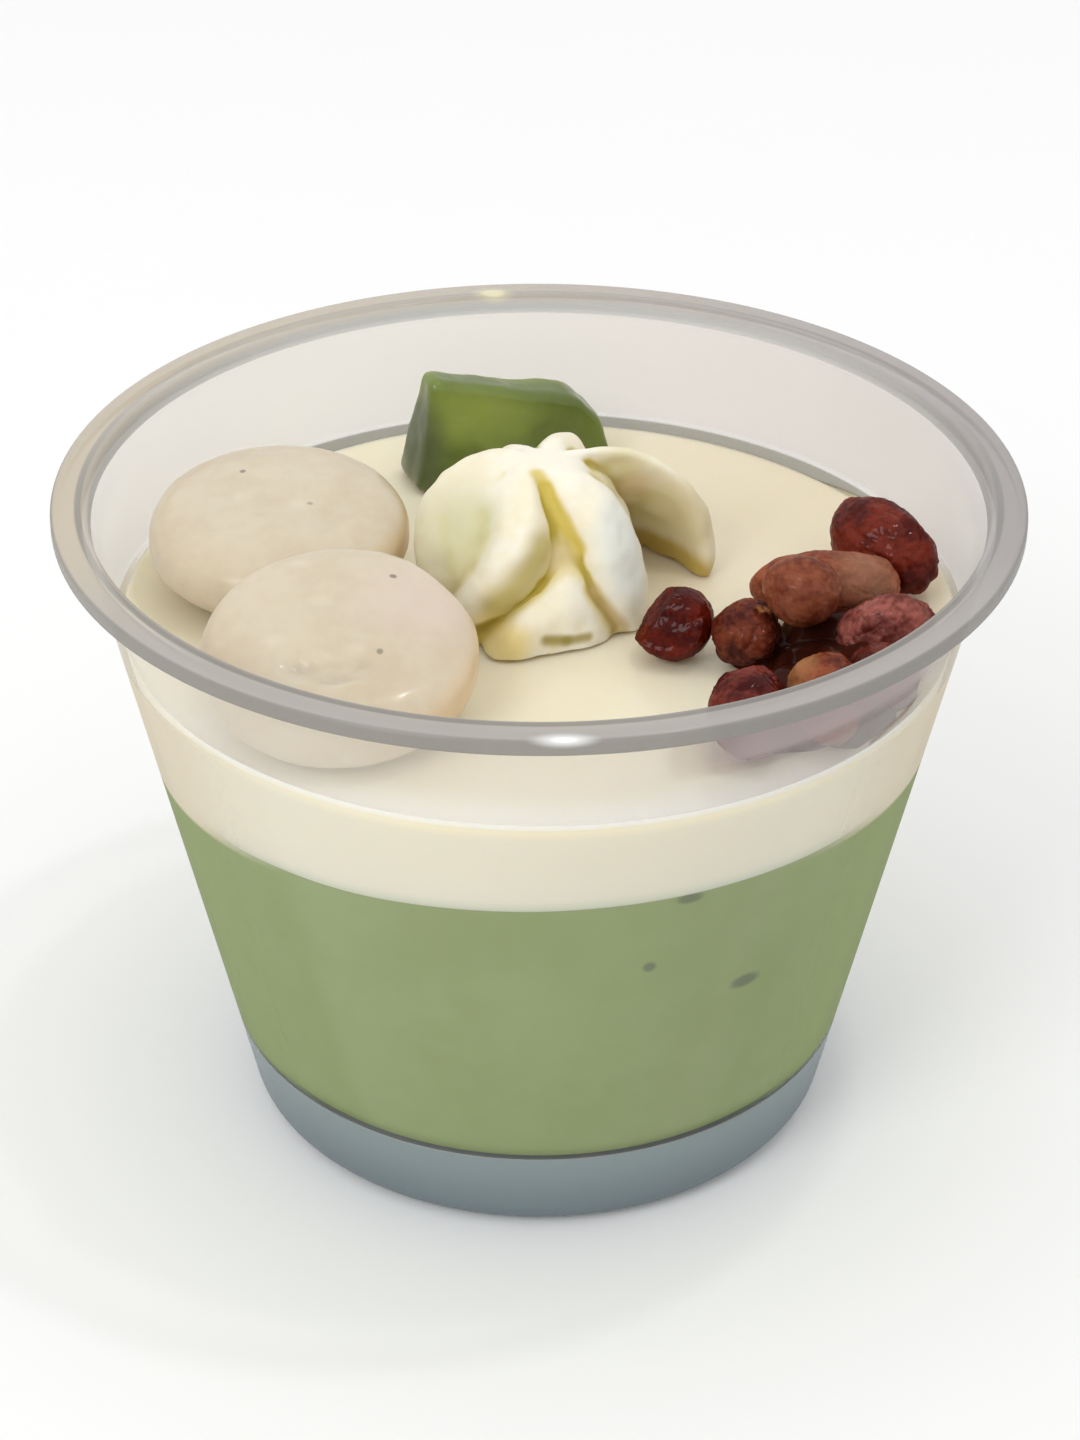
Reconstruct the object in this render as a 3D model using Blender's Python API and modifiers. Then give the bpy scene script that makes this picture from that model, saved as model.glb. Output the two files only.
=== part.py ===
"""Layered pudding dessert in a clear flanged cup, with its toppings.

A tapered, thin-walled cup stands on a hollow foot. It holds a green pudding
with a milk pudding on top. On the milk pudding lie two flattened mochi discs,
a piped cream rosette, a chunk of green jelly and a small pile of sweet beans.

Units are metres, +Z is up. The origin is the centre of the foot ring, on the
surface the cup stands on. -Y is the side the toppings are seen from.
"""

import math

import bmesh
import bpy
from mathutils import Euler, Matrix, Vector

# ---------------------------------------------------------------- cup sizes
CUP_HEIGHT = 0.0685
RIM_RADIUS = 0.0475
RIM_LIP_HEIGHT = 0.0017
RIM_THICKNESS = 0.0007
RIM_ROUNDING = 0.0005
WALL_RADIUS_AT_TABLE = 0.0298
WALL_SLOPE = 0.2190
WALL_THICKNESS = 0.0008
FLOOR_TOP = 0.0104
FLOOR_THICKNESS = 0.0010
FLOOR_CORNER = 0.0008
FOOT_CORNER = 0.0035
FOOT_RING_WIDTH = 0.0014
CUP_STEPS = 60

# ----------------------------------------------------------- filling levels
GAP = 0.0003
GREEN_LEVEL = 0.0420
GREEN_TILT_X = 0.028
GREEN_TILT_Y = -0.075
MILK_LEVEL = 0.0555
FILLING_SIDES = 60

# -------------------------------------------------------------- mochi discs
DISC_ROUNDNESS = 2.6
DISC_DIMPLE_DEPTH = 0.0006
DISC_DIMPLE_RADIUS = 0.0050
DISC_STEPS = 32
DISC_PROFILE_POINTS = 13
BACK_DISC_RADIUS = 0.0130
BACK_DISC_THICKNESS = 0.0096
BACK_DISC_CENTRE = (-0.0259, 0.0036, 0.0611)
BACK_DISC_TILT = (6.0, 0.0, 0.0)
FRONT_DISC_RADIUS = 0.0131
FRONT_DISC_THICKNESS = 0.0084
FRONT_DISC_CENTRE = (-0.0186, -0.0218, 0.0618)
FRONT_DISC_TILT = (16.0, 0.0, 0.0)

# ------------------------------------------------------------ cream rosette
ROSETTE_HEART = (0.0006, 0.0004, 0.0600)
ROSETTE_PEAK = 0.0113
ROSETTE_CALM = (3.0, 20.0)
ROSETTE_FOOT_TILT = 107.0
ROSETTE_FIRST_TILT = 6.0
ROSETTE_TILTS = 26
# Lines along the crests and creases of the piped folds, seen from the heart. Each
# has its slope, which is none on a crest and greater the sharper a crease is, and
# its stations: angle from straight up and bearing in degrees, and reach.
FOLDS = (
    (0.0, ((12, 150, 0.0114), (38, 146, 0.0125), (47, 157, 0.0130), (54, 168, 0.0133),
            (61, 178, 0.0136), (71, 188, 0.0136), (82, 197, 0.0133),
            (94, 206, 0.0130), (107, 211, 0.0128))),
    (0.0, ((12, 190, 0.0113), (28, 207, 0.0106), (42, 216, 0.0103), (56, 221, 0.0103),
            (68, 222, 0.0105), (81, 221, 0.0109), (94, 218, 0.0117),
            (107, 217, 0.0124))),
    (0.0, ((12, 232, 0.0114), (21, 247, 0.0116), (35, 257, 0.0117), (48, 257, 0.0118),
            (60, 252, 0.0119), (73, 243, 0.0121), (86, 233, 0.0126),
            (96, 226, 0.0130), (107, 222, 0.0130))),
    (1.0, ((12, 255, 0.0110), (21, 262, 0.0102), (34, 271, 0.0092), (49, 274, 0.0085),
            (62, 275, 0.0082), (78, 269, 0.0082), (90, 256, 0.0090),
            (101, 243, 0.0105), (107, 236, 0.0120))),
    (0.0, ((12, 262, 0.0109), (21, 267, 0.0100), (34, 274, 0.0091), (49, 277, 0.0084),
            (62, 278, 0.0083), (72, 275, 0.0085), (81, 268, 0.0095),
            (91, 260, 0.0112), (99, 254, 0.0129), (107, 250, 0.0142))),
    (0.0, ((12, 269, 0.0109), (22, 272, 0.0098), (37, 280, 0.0089), (53, 283, 0.0084),
            (69, 282, 0.0086), (79, 280, 0.0099), (88, 279, 0.0110),
            (99, 279, 0.0115), (107, 279, 0.0119))),
    (1.2, ((12, 276, 0.0109), (22, 279, 0.0097), (38, 289, 0.0088), (54, 296, 0.0085),
            (71, 298, 0.0085), (85, 300, 0.0087), (99, 307, 0.0097),
            (107, 312, 0.0106))),
    (0.0, ((12, 300, 0.0114), (19, 313, 0.0114), (34, 321, 0.0113), (49, 320, 0.0110),
            (64, 316, 0.0108), (81, 316, 0.0108), (95, 319, 0.0113),
            (107, 324, 0.0120))),
    (0.6, ((12, 350, 0.0112), (34, 372, 0.0096), (58, 376, 0.0087), (80, 372, 0.0086),
            (107, 366, 0.0098))),
    (0.0, ((12, 385, 0.0114), (30, 390, 0.0112), (50, 392, 0.0110), (80, 392, 0.0106),
            (107, 394, 0.0106))),
    (0.6, ((12, 415, 0.0110), (30, 414, 0.0104), (60, 412, 0.0102),
            (107, 408, 0.0100))),
    (0.0, ((12, 440, 0.0114), (26, 437, 0.0124), (41, 434, 0.0131), (60, 430, 0.0124),
            (107, 424, 0.0124))),
    (0.7, ((12, 462, 0.0110), (30, 460, 0.0106), (50, 454, 0.0104),
            (107, 450, 0.0104))),
    (0.0, ((12, 482, 0.0113), (30, 480, 0.0116), (50, 476, 0.0122), (80, 474, 0.0124),
            (107, 470, 0.0124))),
    (0.7, ((12, 497, 0.0111), (30, 491, 0.0110), (47, 494, 0.0109), (61, 506, 0.0108),
            (80, 518, 0.0108), (107, 530, 0.0112))))
# Steps of the mesh from each line to the next.
FOLD_STEPS = (6, 6, 6, 2, 4, 4, 6, 8, 5, 5, 5, 5, 5, 6, 8)
# The fan at the right, from a crest's curve down to the curve where it stands.
FAN_CREST = ((0.0015, 0.0015, 0.0709), (0.0090, 0.0065, 0.0708),
             (0.0186, 0.0080, 0.0670), (0.0172, 0.0042, 0.0560))
FAN_FOOT = ((0.0050, 0.0135, 0.0548), (0.0095, 0.0157, 0.0548),
            (0.0130, 0.0100, 0.0548), (0.0166, 0.0056, 0.0548))
FAN_HALF_WIDTH = 0.0016
FAN_STEPS = 20
FAN_CORNERS = 14

# -------------------------------------------------------- green jelly chunk
CHUNK_BASE = (0.0206, 0.0072)
CHUNK_TOP_SCALE = (0.77, 0.55)
CHUNK_HEIGHT = 0.0122
CHUNK_CENTRE = (-0.0043, 0.0284)
CHUNK_TURN = 20.0
CHUNK_BEVEL = 0.0009
# Planes that trim the chunk: a point in it and the direction cut away.
CHUNK_CUTS = (
    ((-0.0078, 0.0, 0.0120), (0.24, 0.0, 0.97)),
    ((0.0062, 0.0, 0.0092), (0.72, 0.0, 0.69)),
)

# -------------------------------------------------------------- sweet beans
BEAN_SEGMENTS = 14
BEAN_RINGS = 8
# Centre, half sizes and turn in degrees of each bean in the pile.
BEANS = (
    ((0.0131, -0.0110, 0.0593), (0.0038, 0.0036, 0.0033), (0, 0, 20)),
    ((0.0200, -0.0123, 0.0591), (0.0032, 0.0035, 0.0031), (0, 10, 35)),
    ((0.0252, -0.0124, 0.0637), (0.0037, 0.0034, 0.0032), (0, 15, 10)),
    ((0.0281, -0.0046, 0.0596), (0.0073, 0.0038, 0.0037), (0, 0, 6)),
    ((0.0342, 0.0034, 0.0600), (0.0064, 0.0043, 0.0042), (0, 8, -50)),
    ((0.0334, -0.0138, 0.0596), (0.0046, 0.0036, 0.0037), (0, -6, 12)),
    ((0.0267, -0.0256, 0.0598), (0.0033, 0.0051, 0.0039), (8, 0, 10)),
    ((0.0194, -0.0276, 0.0595), (0.0037, 0.0053, 0.0036), (8, 0, -10)),
    ((0.0323, -0.0210, 0.0593), (0.0030, 0.0032, 0.0033), (0, 0, 0)),
)

WALL_TILT = math.atan(WALL_SLOPE)
WALL_SPAN = WALL_THICKNESS / math.cos(WALL_TILT)


def clear_scene():
    """Remove every object that is in the file."""
    for obj in list(bpy.data.objects):
        bpy.data.objects.remove(obj, do_unlink=True)


def new_collection(name):
    """Add a collection to the scene."""
    collection = bpy.data.collections.new(name)
    bpy.context.scene.collection.children.link(collection)
    return collection


def new_material(name, colour, roughness, transmission=0.0):
    """Make a Principled material of one finish."""
    material = bpy.data.materials.new(name)
    material.use_nodes = True
    shader = material.node_tree.nodes["Principled BSDF"]
    shader.inputs["Base Color"].default_value = (*colour, 1.0)
    shader.inputs["Roughness"].default_value = roughness
    shader.inputs["Metallic"].default_value = 0.0
    shader.inputs["Transmission Weight"].default_value = transmission
    material.diffuse_color = (*colour, 1.0)
    return material


def add_object(name, mesh, collection, material):
    """Put a mesh in a collection as a named, smooth-shaded object."""
    obj = bpy.data.objects.new(name, mesh)
    collection.objects.link(obj)
    mesh.materials.append(material)
    mesh.shade_smooth()
    mesh.set_sharp_from_angle(angle=math.radians(40))
    return obj


def place(obj, centre, turn):
    """Put an object at a centre, turned about X, Y and Z by angles in degrees."""
    obj.location = centre
    obj.rotation_euler = Euler([math.radians(angle) for angle in turn])


def mesh_from_bmesh(name, bm):
    """Turn a finished bmesh into a mesh whose faces point out."""
    bmesh.ops.recalc_face_normals(bm, faces=bm.faces)
    mesh = bpy.data.meshes.new(name)
    bm.to_mesh(mesh)
    bm.free()
    return mesh


def wall_radius(z):
    """Radius of the cup's outer wall at a height."""
    return WALL_RADIUS_AT_TABLE + WALL_SLOPE * z


def bore_radius(z):
    """Radius of the cup's inner wall at a height."""
    return wall_radius(z) - WALL_SPAN


def arc(centre, radius, start, end, count):
    """Points of an arc in the (radius, height) plane, angles in degrees."""
    points = []
    for i in range(count + 1):
        angle = math.radians(start + (end - start) * i / count)
        points.append((centre[0] + radius * math.cos(angle),
                       centre[1] + radius * math.sin(angle)))
    return points


def corner_centre(radius_at_table, floor, corner):
    """Centre of the arc between a level floor and a sloping wall."""
    height = floor + corner
    radius = radius_at_table + WALL_SLOPE * height - corner / math.cos(WALL_TILT)
    return (radius, height)


def cup_profile():
    """Half section of the cup, from the floor's middle over the rim to the foot."""
    slope = math.degrees(WALL_TILT)
    bore_at_table = WALL_RADIUS_AT_TABLE - WALL_SPAN
    top = CUP_HEIGHT
    lip_inner = RIM_RADIUS - RIM_THICKNESS
    under_rim = top - RIM_THICKNESS
    inner_edge = bore_radius(top) + RIM_ROUNDING

    points = [(0.0, FLOOR_TOP)]
    floor_corner = corner_centre(bore_at_table, FLOOR_TOP, FLOOR_CORNER)
    points += arc(floor_corner, FLOOR_CORNER, -90, -slope, 3)
    points += arc((inner_edge, top - RIM_ROUNDING), RIM_ROUNDING, 180 - slope, 90, 2)
    points += arc((RIM_RADIUS - RIM_ROUNDING, top - RIM_ROUNDING), RIM_ROUNDING, 90, 0, 2)
    points += [(RIM_RADIUS, top - RIM_LIP_HEIGHT),
               (lip_inner, top - RIM_LIP_HEIGHT),
               (lip_inner, under_rim),
               (wall_radius(under_rim) + RIM_ROUNDING, under_rim),
               (wall_radius(under_rim - RIM_ROUNDING), under_rim - RIM_ROUNDING)]
    foot_centre = corner_centre(WALL_RADIUS_AT_TABLE, 0.0, FOOT_CORNER)
    points += arc(foot_centre, FOOT_CORNER, -slope, -90, 5)
    ring_inner = foot_centre[0] - FOOT_RING_WIDTH
    inner_corner = FOOT_CORNER - WALL_THICKNESS
    points += [(ring_inner, 0.0), (ring_inner, WALL_THICKNESS)]
    points += arc(foot_centre, inner_corner, -90, -slope, 3)
    underside = FLOOR_TOP - FLOOR_THICKNESS
    points += [(bore_radius(underside), underside), (0.0, underside)]
    return points


def turned(name, profile, steps, collection, material):
    """Turn a (radius, height) profile about Z with a Screw modifier."""
    bm = bmesh.new()
    verts = [bm.verts.new((radius, 0.0, height)) for radius, height in profile]
    for first, second in zip(verts, verts[1:]):
        bm.edges.new((first, second))
    mesh = bpy.data.meshes.new(name)
    bm.to_mesh(mesh)
    bm.free()
    obj = add_object(name, mesh, collection, material)
    screw = obj.modifiers.new("Turn", "SCREW")
    screw.axis = "Z"
    screw.angle = math.tau
    screw.steps = steps
    screw.render_steps = steps
    screw.use_merge_vertices = True
    screw.merge_threshold = 0.00001
    screw.use_smooth_shade = True
    return obj


def filling(name, floor, floor_tilt, level, level_tilt, collection, material):
    """A pudding layer: a tapered plug that follows the bore with a small gap.

    The floor and the level are planes: a height on the axis and a tilt, which
    is the rise per metre along X and Y.
    """
    bm = bmesh.new()
    bmesh.ops.create_cone(bm, cap_ends=True, cap_tris=False, segments=FILLING_SIDES,
                          radius1=1.0, radius2=1.0, depth=2.0)
    clearance = WALL_SPAN + GAP / math.cos(WALL_TILT)
    for vert in bm.verts:
        height, tilt = (level, level_tilt) if vert.co.z > 0 else (floor, floor_tilt)
        bearing = Vector((vert.co.x, vert.co.y)).normalized()
        rise = tilt[0] * bearing.x + tilt[1] * bearing.y
        at_table = WALL_RADIUS_AT_TABLE - clearance
        radius = (at_table + WALL_SLOPE * height) / (1.0 - WALL_SLOPE * rise)
        vert.co = (radius * bearing.x, radius * bearing.y, height + rise * radius)
    return add_object(name, mesh_from_bmesh(name, bm), collection, material)


def round_filling_foot(obj):
    """Bevel the lower edge of the bottom layer to clear the cup's floor corner."""
    bevel = obj.modifiers.new("Foot", "BEVEL")
    bevel.width = FLOOR_CORNER * 0.9
    bevel.segments = 3
    bevel.limit_method = "VGROUP"
    lowest = min(vert.co.z for vert in obj.data.vertices)
    group = obj.vertex_groups.new(name="foot")
    foot = [vert.index for vert in obj.data.vertices if vert.co.z < lowest + GAP]
    group.add(foot, 1.0, "REPLACE")
    bevel.vertex_group = group.name


def disc_profile(radius, thickness):
    """Half section of a pillow-edged disc, from its top centre to its bottom."""
    points = []
    power = 2.0 / DISC_ROUNDNESS
    for i in range(DISC_PROFILE_POINTS):
        angle = math.pi * (0.5 - i / (DISC_PROFILE_POINTS - 1))
        across = abs(math.cos(angle)) ** power if 0 < i < DISC_PROFILE_POINTS - 1 else 0.0
        up = math.copysign(abs(math.sin(angle)) ** power, math.sin(angle))
        dimple = DISC_DIMPLE_DEPTH * math.exp(-(radius * across / DISC_DIMPLE_RADIUS) ** 2)
        height = 0.5 * thickness * up - (dimple if up > 0 else 0.0)
        points.append((radius * across, height))
    return points


def hermite(t, low, high, start, end):
    """Cubic between two values with given slopes at its ends."""
    square, cube = t * t, t * t * t
    return (low * (2.0 * cube - 3.0 * square + 1.0) + start * (cube - 2.0 * square + t)
            + high * (3.0 * square - 2.0 * cube) + end * (cube - square))


def fold_at(stations, tilt):
    """Bearing and reach of a fold's line at an angle from straight up."""
    if tilt <= stations[0][0]:
        return stations[0][1:]
    for index in range(len(stations) - 1):
        low, high = stations[index], stations[index + 1]
        if tilt > high[0]:
            continue
        before = stations[max(0, index - 1)]
        after = stations[min(len(stations) - 1, index + 2)]
        span = high[0] - low[0]
        t = (tilt - low[0]) / span
        return tuple(
            hermite(t, low[axis], high[axis],
                    (high[axis] - before[axis]) / (high[0] - before[0]) * span,
                    (after[axis] - low[axis]) / (after[0] - low[0]) * span)
            for axis in (1, 2))
    return stations[-1][1:]


def rosette_ring(tilt):
    """Bearing and reach of the rosette's surface all round at one tilt."""
    lines = [(*fold_at(stations, tilt), slope) for slope, stations in FOLDS]
    first = lines[0]
    lines.append((first[0] + 360.0, first[1], first[2]))
    share = (tilt - ROSETTE_CALM[0]) / (ROSETTE_CALM[1] - ROSETTE_CALM[0])
    share = min(1.0, max(0.0, share))
    share = share * share * (3.0 - 2.0 * share)
    ring = []
    for low, high, steps in zip(lines, lines[1:], FOLD_STEPS):
        change = (high[1] - low[1]) * 1.8
        for step in range(steps):
            t = step / steps
            far = hermite(t, low[1], high[1], change * low[2], change * high[2])
            ring.append((low[0] + (high[0] - low[0]) * t,
                         ROSETTE_PEAK + (far - ROSETTE_PEAK) * share))
    return ring


def curve_point(points, t):
    """Point on a cubic curve, from 0 at its start to 1 at its end."""
    first, second, third, last = (Vector(point) for point in points)
    back = 1.0 - t
    return (first * back ** 3 + second * (3.0 * back * back * t)
            + third * (3.0 * back * t * t) + last * t ** 3)


def skin(bm, rings):
    """Faces between rings of vertices, each ring as long as the next."""
    for lower, upper in zip(rings, rings[1:]):
        for i in range(len(lower)):
            j = (i + 1) % len(lower)
            bm.faces.new((lower[i], lower[j], upper[j], upper[i]))


def folded_mass():
    """Mesh of the rosette's folds, reaching a little below its resting plane."""
    heart = Vector(ROSETTE_HEART)
    bm = bmesh.new()
    rings = []
    for row in range(ROSETTE_TILTS):
        tilt = (ROSETTE_FIRST_TILT + (ROSETTE_FOOT_TILT - ROSETTE_FIRST_TILT)
                * row / (ROSETTE_TILTS - 1))
        ring = []
        for bearing, reach in rosette_ring(tilt):
            across = reach * math.sin(math.radians(tilt))
            angle = math.radians(bearing)
            ring.append(bm.verts.new(heart + Vector((
                across * math.cos(angle), across * math.sin(angle),
                reach * math.cos(math.radians(tilt))))))
        rings.append(ring)
    low = MILK_LEVEL + GAP - 0.0006
    rings.append([bm.verts.new((vert.co.x, vert.co.y, low)) for vert in rings[-1]])
    skin(bm, rings)
    for ring, height in ((rings[0], heart.z + ROSETTE_PEAK), (rings[-1], low)):
        middle = bm.verts.new((heart.x, heart.y, height))
        for i in range(len(ring)):
            bm.faces.new((middle, ring[i], ring[(i + 1) % len(ring)]))
    bmesh.ops.recalc_face_normals(bm, faces=bm.faces)
    return mesh_from_bmesh("cream_rosette", bm)


def fan_blade():
    """Mesh of the fan, as a closed blade that leans over its foot."""
    bm = bmesh.new()
    rings = []
    for step in range(FAN_STEPS + 1):
        t = step / FAN_STEPS
        crest, foot = curve_point(FAN_CREST, t), curve_point(FAN_FOOT, t)
        side = Vector((0.2 - 0.8 * t, -1.0, 0.0)).normalized()
        full = math.sqrt(1.0 - (1.0 - min(1.0, 0.03 + (1.0 - t) / 0.20)) ** 2)
        ring = []
        for corner in range(FAN_CORNERS):
            angle = math.tau * corner / FAN_CORNERS
            across = math.copysign(abs(math.sin(angle)) ** 0.7, math.sin(angle))
            ring.append(bm.verts.new(crest + (foot - crest) * 0.5 * (1.0 - math.cos(angle))
                                     + side * across * full * FAN_HALF_WIDTH))
        rings.append(ring)
    skin(bm, rings)
    bm.faces.new(rings[0])
    bm.faces.new(rings[-1])
    bmesh.ops.recalc_face_normals(bm, faces=bm.faces)
    return mesh_from_bmesh("rosette_fan", bm)


def add_rosette(collection, shapes, material):
    """The piped rosette: swirled folds with a fan fused on at the right."""
    rosette = add_object("cream_rosette", folded_mass(), collection, material)
    fan = bpy.data.objects.new("rosette_fan", fan_blade())
    shapes.objects.link(fan)
    union = rosette.modifiers.new("Fan", "BOOLEAN")
    union.operation = "UNION"
    union.object = fan
    union.solver = "EXACT"
    apply_modifiers(rosette)
    bpy.data.objects.remove(fan, do_unlink=True)
    bm = bmesh.new()
    bm.from_mesh(rosette.data)
    cut_away(bm, (0.0, 0.0, MILK_LEVEL + GAP), (0.0, 0.0, -1.0))
    bmesh.ops.remove_doubles(bm, verts=bm.verts, dist=0.00002)
    bmesh.ops.recalc_face_normals(bm, faces=bm.faces)
    bm.to_mesh(rosette.data)
    bm.free()
    rosette.data.shade_smooth()
    rosette.data.set_sharp_from_angle(angle=math.radians(40))
    return rosette


def cut_away(bm, point, direction):
    """Cut a closed mesh at a plane, drop the side the direction points to, cap it."""
    geometry = bm.verts[:] + bm.edges[:] + bm.faces[:]
    cut = bmesh.ops.bisect_plane(bm, geom=geometry, dist=0.000001, plane_co=point,
                                 plane_no=direction, clear_outer=True)
    edges = [item for item in cut["geom_cut"] if isinstance(item, bmesh.types.BMEdge)]
    bmesh.ops.holes_fill(bm, edges=edges, sides=0)


def apply_modifiers(obj):
    """Replace an object's mesh by its evaluated mesh."""
    bpy.context.view_layer.update()
    evaluated = obj.evaluated_get(bpy.context.evaluated_depsgraph_get())
    mesh = bpy.data.meshes.new_from_object(evaluated)
    obj.modifiers.clear()
    obj.data = mesh


def add_chunk(collection, material):
    """The green jelly chunk: a tapered block with a sloping top and a cut corner."""
    bm = bmesh.new()
    bmesh.ops.create_cube(bm, size=1.0)
    for vert in bm.verts:
        upper = vert.co.z > 0
        vert.co.x *= CHUNK_BASE[0] * (CHUNK_TOP_SCALE[0] if upper else 1.0)
        vert.co.y *= CHUNK_BASE[1] * (CHUNK_TOP_SCALE[1] if upper else 1.0)
        vert.co.z = CHUNK_HEIGHT if upper else 0.0
    for point, direction in CHUNK_CUTS:
        cut_away(bm, point, direction)
    obj = add_object("green_jelly_chunk", mesh_from_bmesh("green_jelly_chunk", bm),
                     collection, material)
    bevel = obj.modifiers.new("Edges", "BEVEL")
    bevel.width = CHUNK_BEVEL
    bevel.segments = 3
    bevel.limit_method = "NONE"
    place(obj, (*CHUNK_CENTRE, MILK_LEVEL + GAP), (0.0, 0.0, CHUNK_TURN))
    return obj


def add_bean(index, centre, half_sizes, turn, collection, material):
    """One bean: a plump ellipsoid, a little bent like a kidney."""
    bm = bmesh.new()
    bmesh.ops.create_uvsphere(bm, u_segments=BEAN_SEGMENTS, v_segments=BEAN_RINGS, radius=1.0)
    for vert in bm.verts:
        bend = 0.18 * vert.co.x ** 2 - 0.06
        vert.co = (vert.co.x * half_sizes[0],
                   (vert.co.y * 0.9 + bend) * half_sizes[1],
                   vert.co.z * half_sizes[2])
    name = f"red_bean_{index}"
    obj = add_object(name, mesh_from_bmesh(name, bm), collection, material)
    place(obj, centre, turn)
    return obj


def build():
    """Build the whole dessert."""
    clear_scene()
    parts = new_collection("pudding_cup")
    shapes = new_collection("shapes")

    clear_plastic = new_material("cup_plastic", (0.86, 0.83, 0.80), 0.22, 0.85)
    green = new_material("green_pudding", (0.30, 0.35, 0.16), 0.45)
    milk = new_material("milk_pudding", (0.86, 0.78, 0.58), 0.35)
    mochi = new_material("mochi", (0.70, 0.62, 0.50), 0.30)
    cream = new_material("whipped_cream", (0.88, 0.82, 0.58), 0.50)
    jelly = new_material("green_jelly", (0.16, 0.21, 0.04), 0.20)
    bean = new_material("sweet_bean", (0.16, 0.03, 0.02), 0.25)

    turned("cup", cup_profile(), CUP_STEPS, parts, clear_plastic)

    level_tilt = (0.0, 0.0)
    green_tilt = (GREEN_TILT_X, GREEN_TILT_Y)
    bottom = filling("green_pudding", FLOOR_TOP + GAP, level_tilt,
                     GREEN_LEVEL, green_tilt, parts, green)
    round_filling_foot(bottom)
    filling("milk_pudding", GREEN_LEVEL + GAP, green_tilt,
            MILK_LEVEL, level_tilt, parts, milk)

    back = turned("mochi_disc_back", disc_profile(BACK_DISC_RADIUS, BACK_DISC_THICKNESS),
                  DISC_STEPS, parts, mochi)
    place(back, BACK_DISC_CENTRE, BACK_DISC_TILT)
    front = turned("mochi_disc_front", disc_profile(FRONT_DISC_RADIUS, FRONT_DISC_THICKNESS),
                   DISC_STEPS, parts, mochi)
    place(front, FRONT_DISC_CENTRE, FRONT_DISC_TILT)

    add_rosette(parts, shapes, cream)
    add_chunk(parts, jelly)
    for index, (centre, half_sizes, turn) in enumerate(BEANS, start=1):
        add_bean(index, centre, half_sizes, turn, parts, bean)


build()
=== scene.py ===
"""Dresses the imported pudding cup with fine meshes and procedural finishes.

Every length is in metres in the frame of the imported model: +Z is up, the origin is
the centre of the foot ring, and -Y is the side the toppings are seen from.
"""

import logging
import math
from dataclasses import dataclass
from enum import Enum
from typing import Callable, Mapping, Sequence, Union

import bmesh
import bpy
from mathutils import Euler, Matrix, Vector, noise


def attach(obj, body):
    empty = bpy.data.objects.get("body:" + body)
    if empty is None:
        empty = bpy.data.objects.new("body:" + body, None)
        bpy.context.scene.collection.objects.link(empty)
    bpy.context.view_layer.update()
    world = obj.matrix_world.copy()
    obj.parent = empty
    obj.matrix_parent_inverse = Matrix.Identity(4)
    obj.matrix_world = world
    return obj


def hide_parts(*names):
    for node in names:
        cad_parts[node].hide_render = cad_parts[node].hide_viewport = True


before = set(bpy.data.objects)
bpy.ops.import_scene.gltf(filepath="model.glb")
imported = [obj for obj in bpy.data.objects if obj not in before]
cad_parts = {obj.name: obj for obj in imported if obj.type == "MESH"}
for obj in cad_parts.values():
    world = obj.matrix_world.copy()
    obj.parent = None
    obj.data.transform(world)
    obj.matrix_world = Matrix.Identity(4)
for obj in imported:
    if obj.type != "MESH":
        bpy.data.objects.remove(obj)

LOG = logging.getLogger("pudding_cup")
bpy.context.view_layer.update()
BODY = "root"

# Driving sizes: the floor's and the two puddings' heights, the boundary's slopes along
# X and along Y, and the flange's radius.
FLOOR_TOP = 0.0104
GREEN_LEVEL = 0.0420
MILK_LEVEL = 0.0555
BOUNDARY_TILT = (0.028, -0.075)
RIM_RADIUS = 0.0475

# A span holds the two places between which something grows from nothing to full, and a
# wave holds its waves per metre and its height.
Colour = tuple[float, float, float]
Place = tuple[float, float, float]
Point = tuple[float, float]
Span = tuple[float, float]
Wave = tuple[float, float]
Socket = bpy.types.NodeSocket
Value = Union[float, Sequence[float], Socket]


# ------------------------------------------------------------------ node writing
@dataclass(frozen=True)
class Axes:
    """A place's coordinates and its distance from the upright axis, as sockets."""

    x: Socket
    y: Socket
    z: Socket
    radius: Socket


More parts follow.
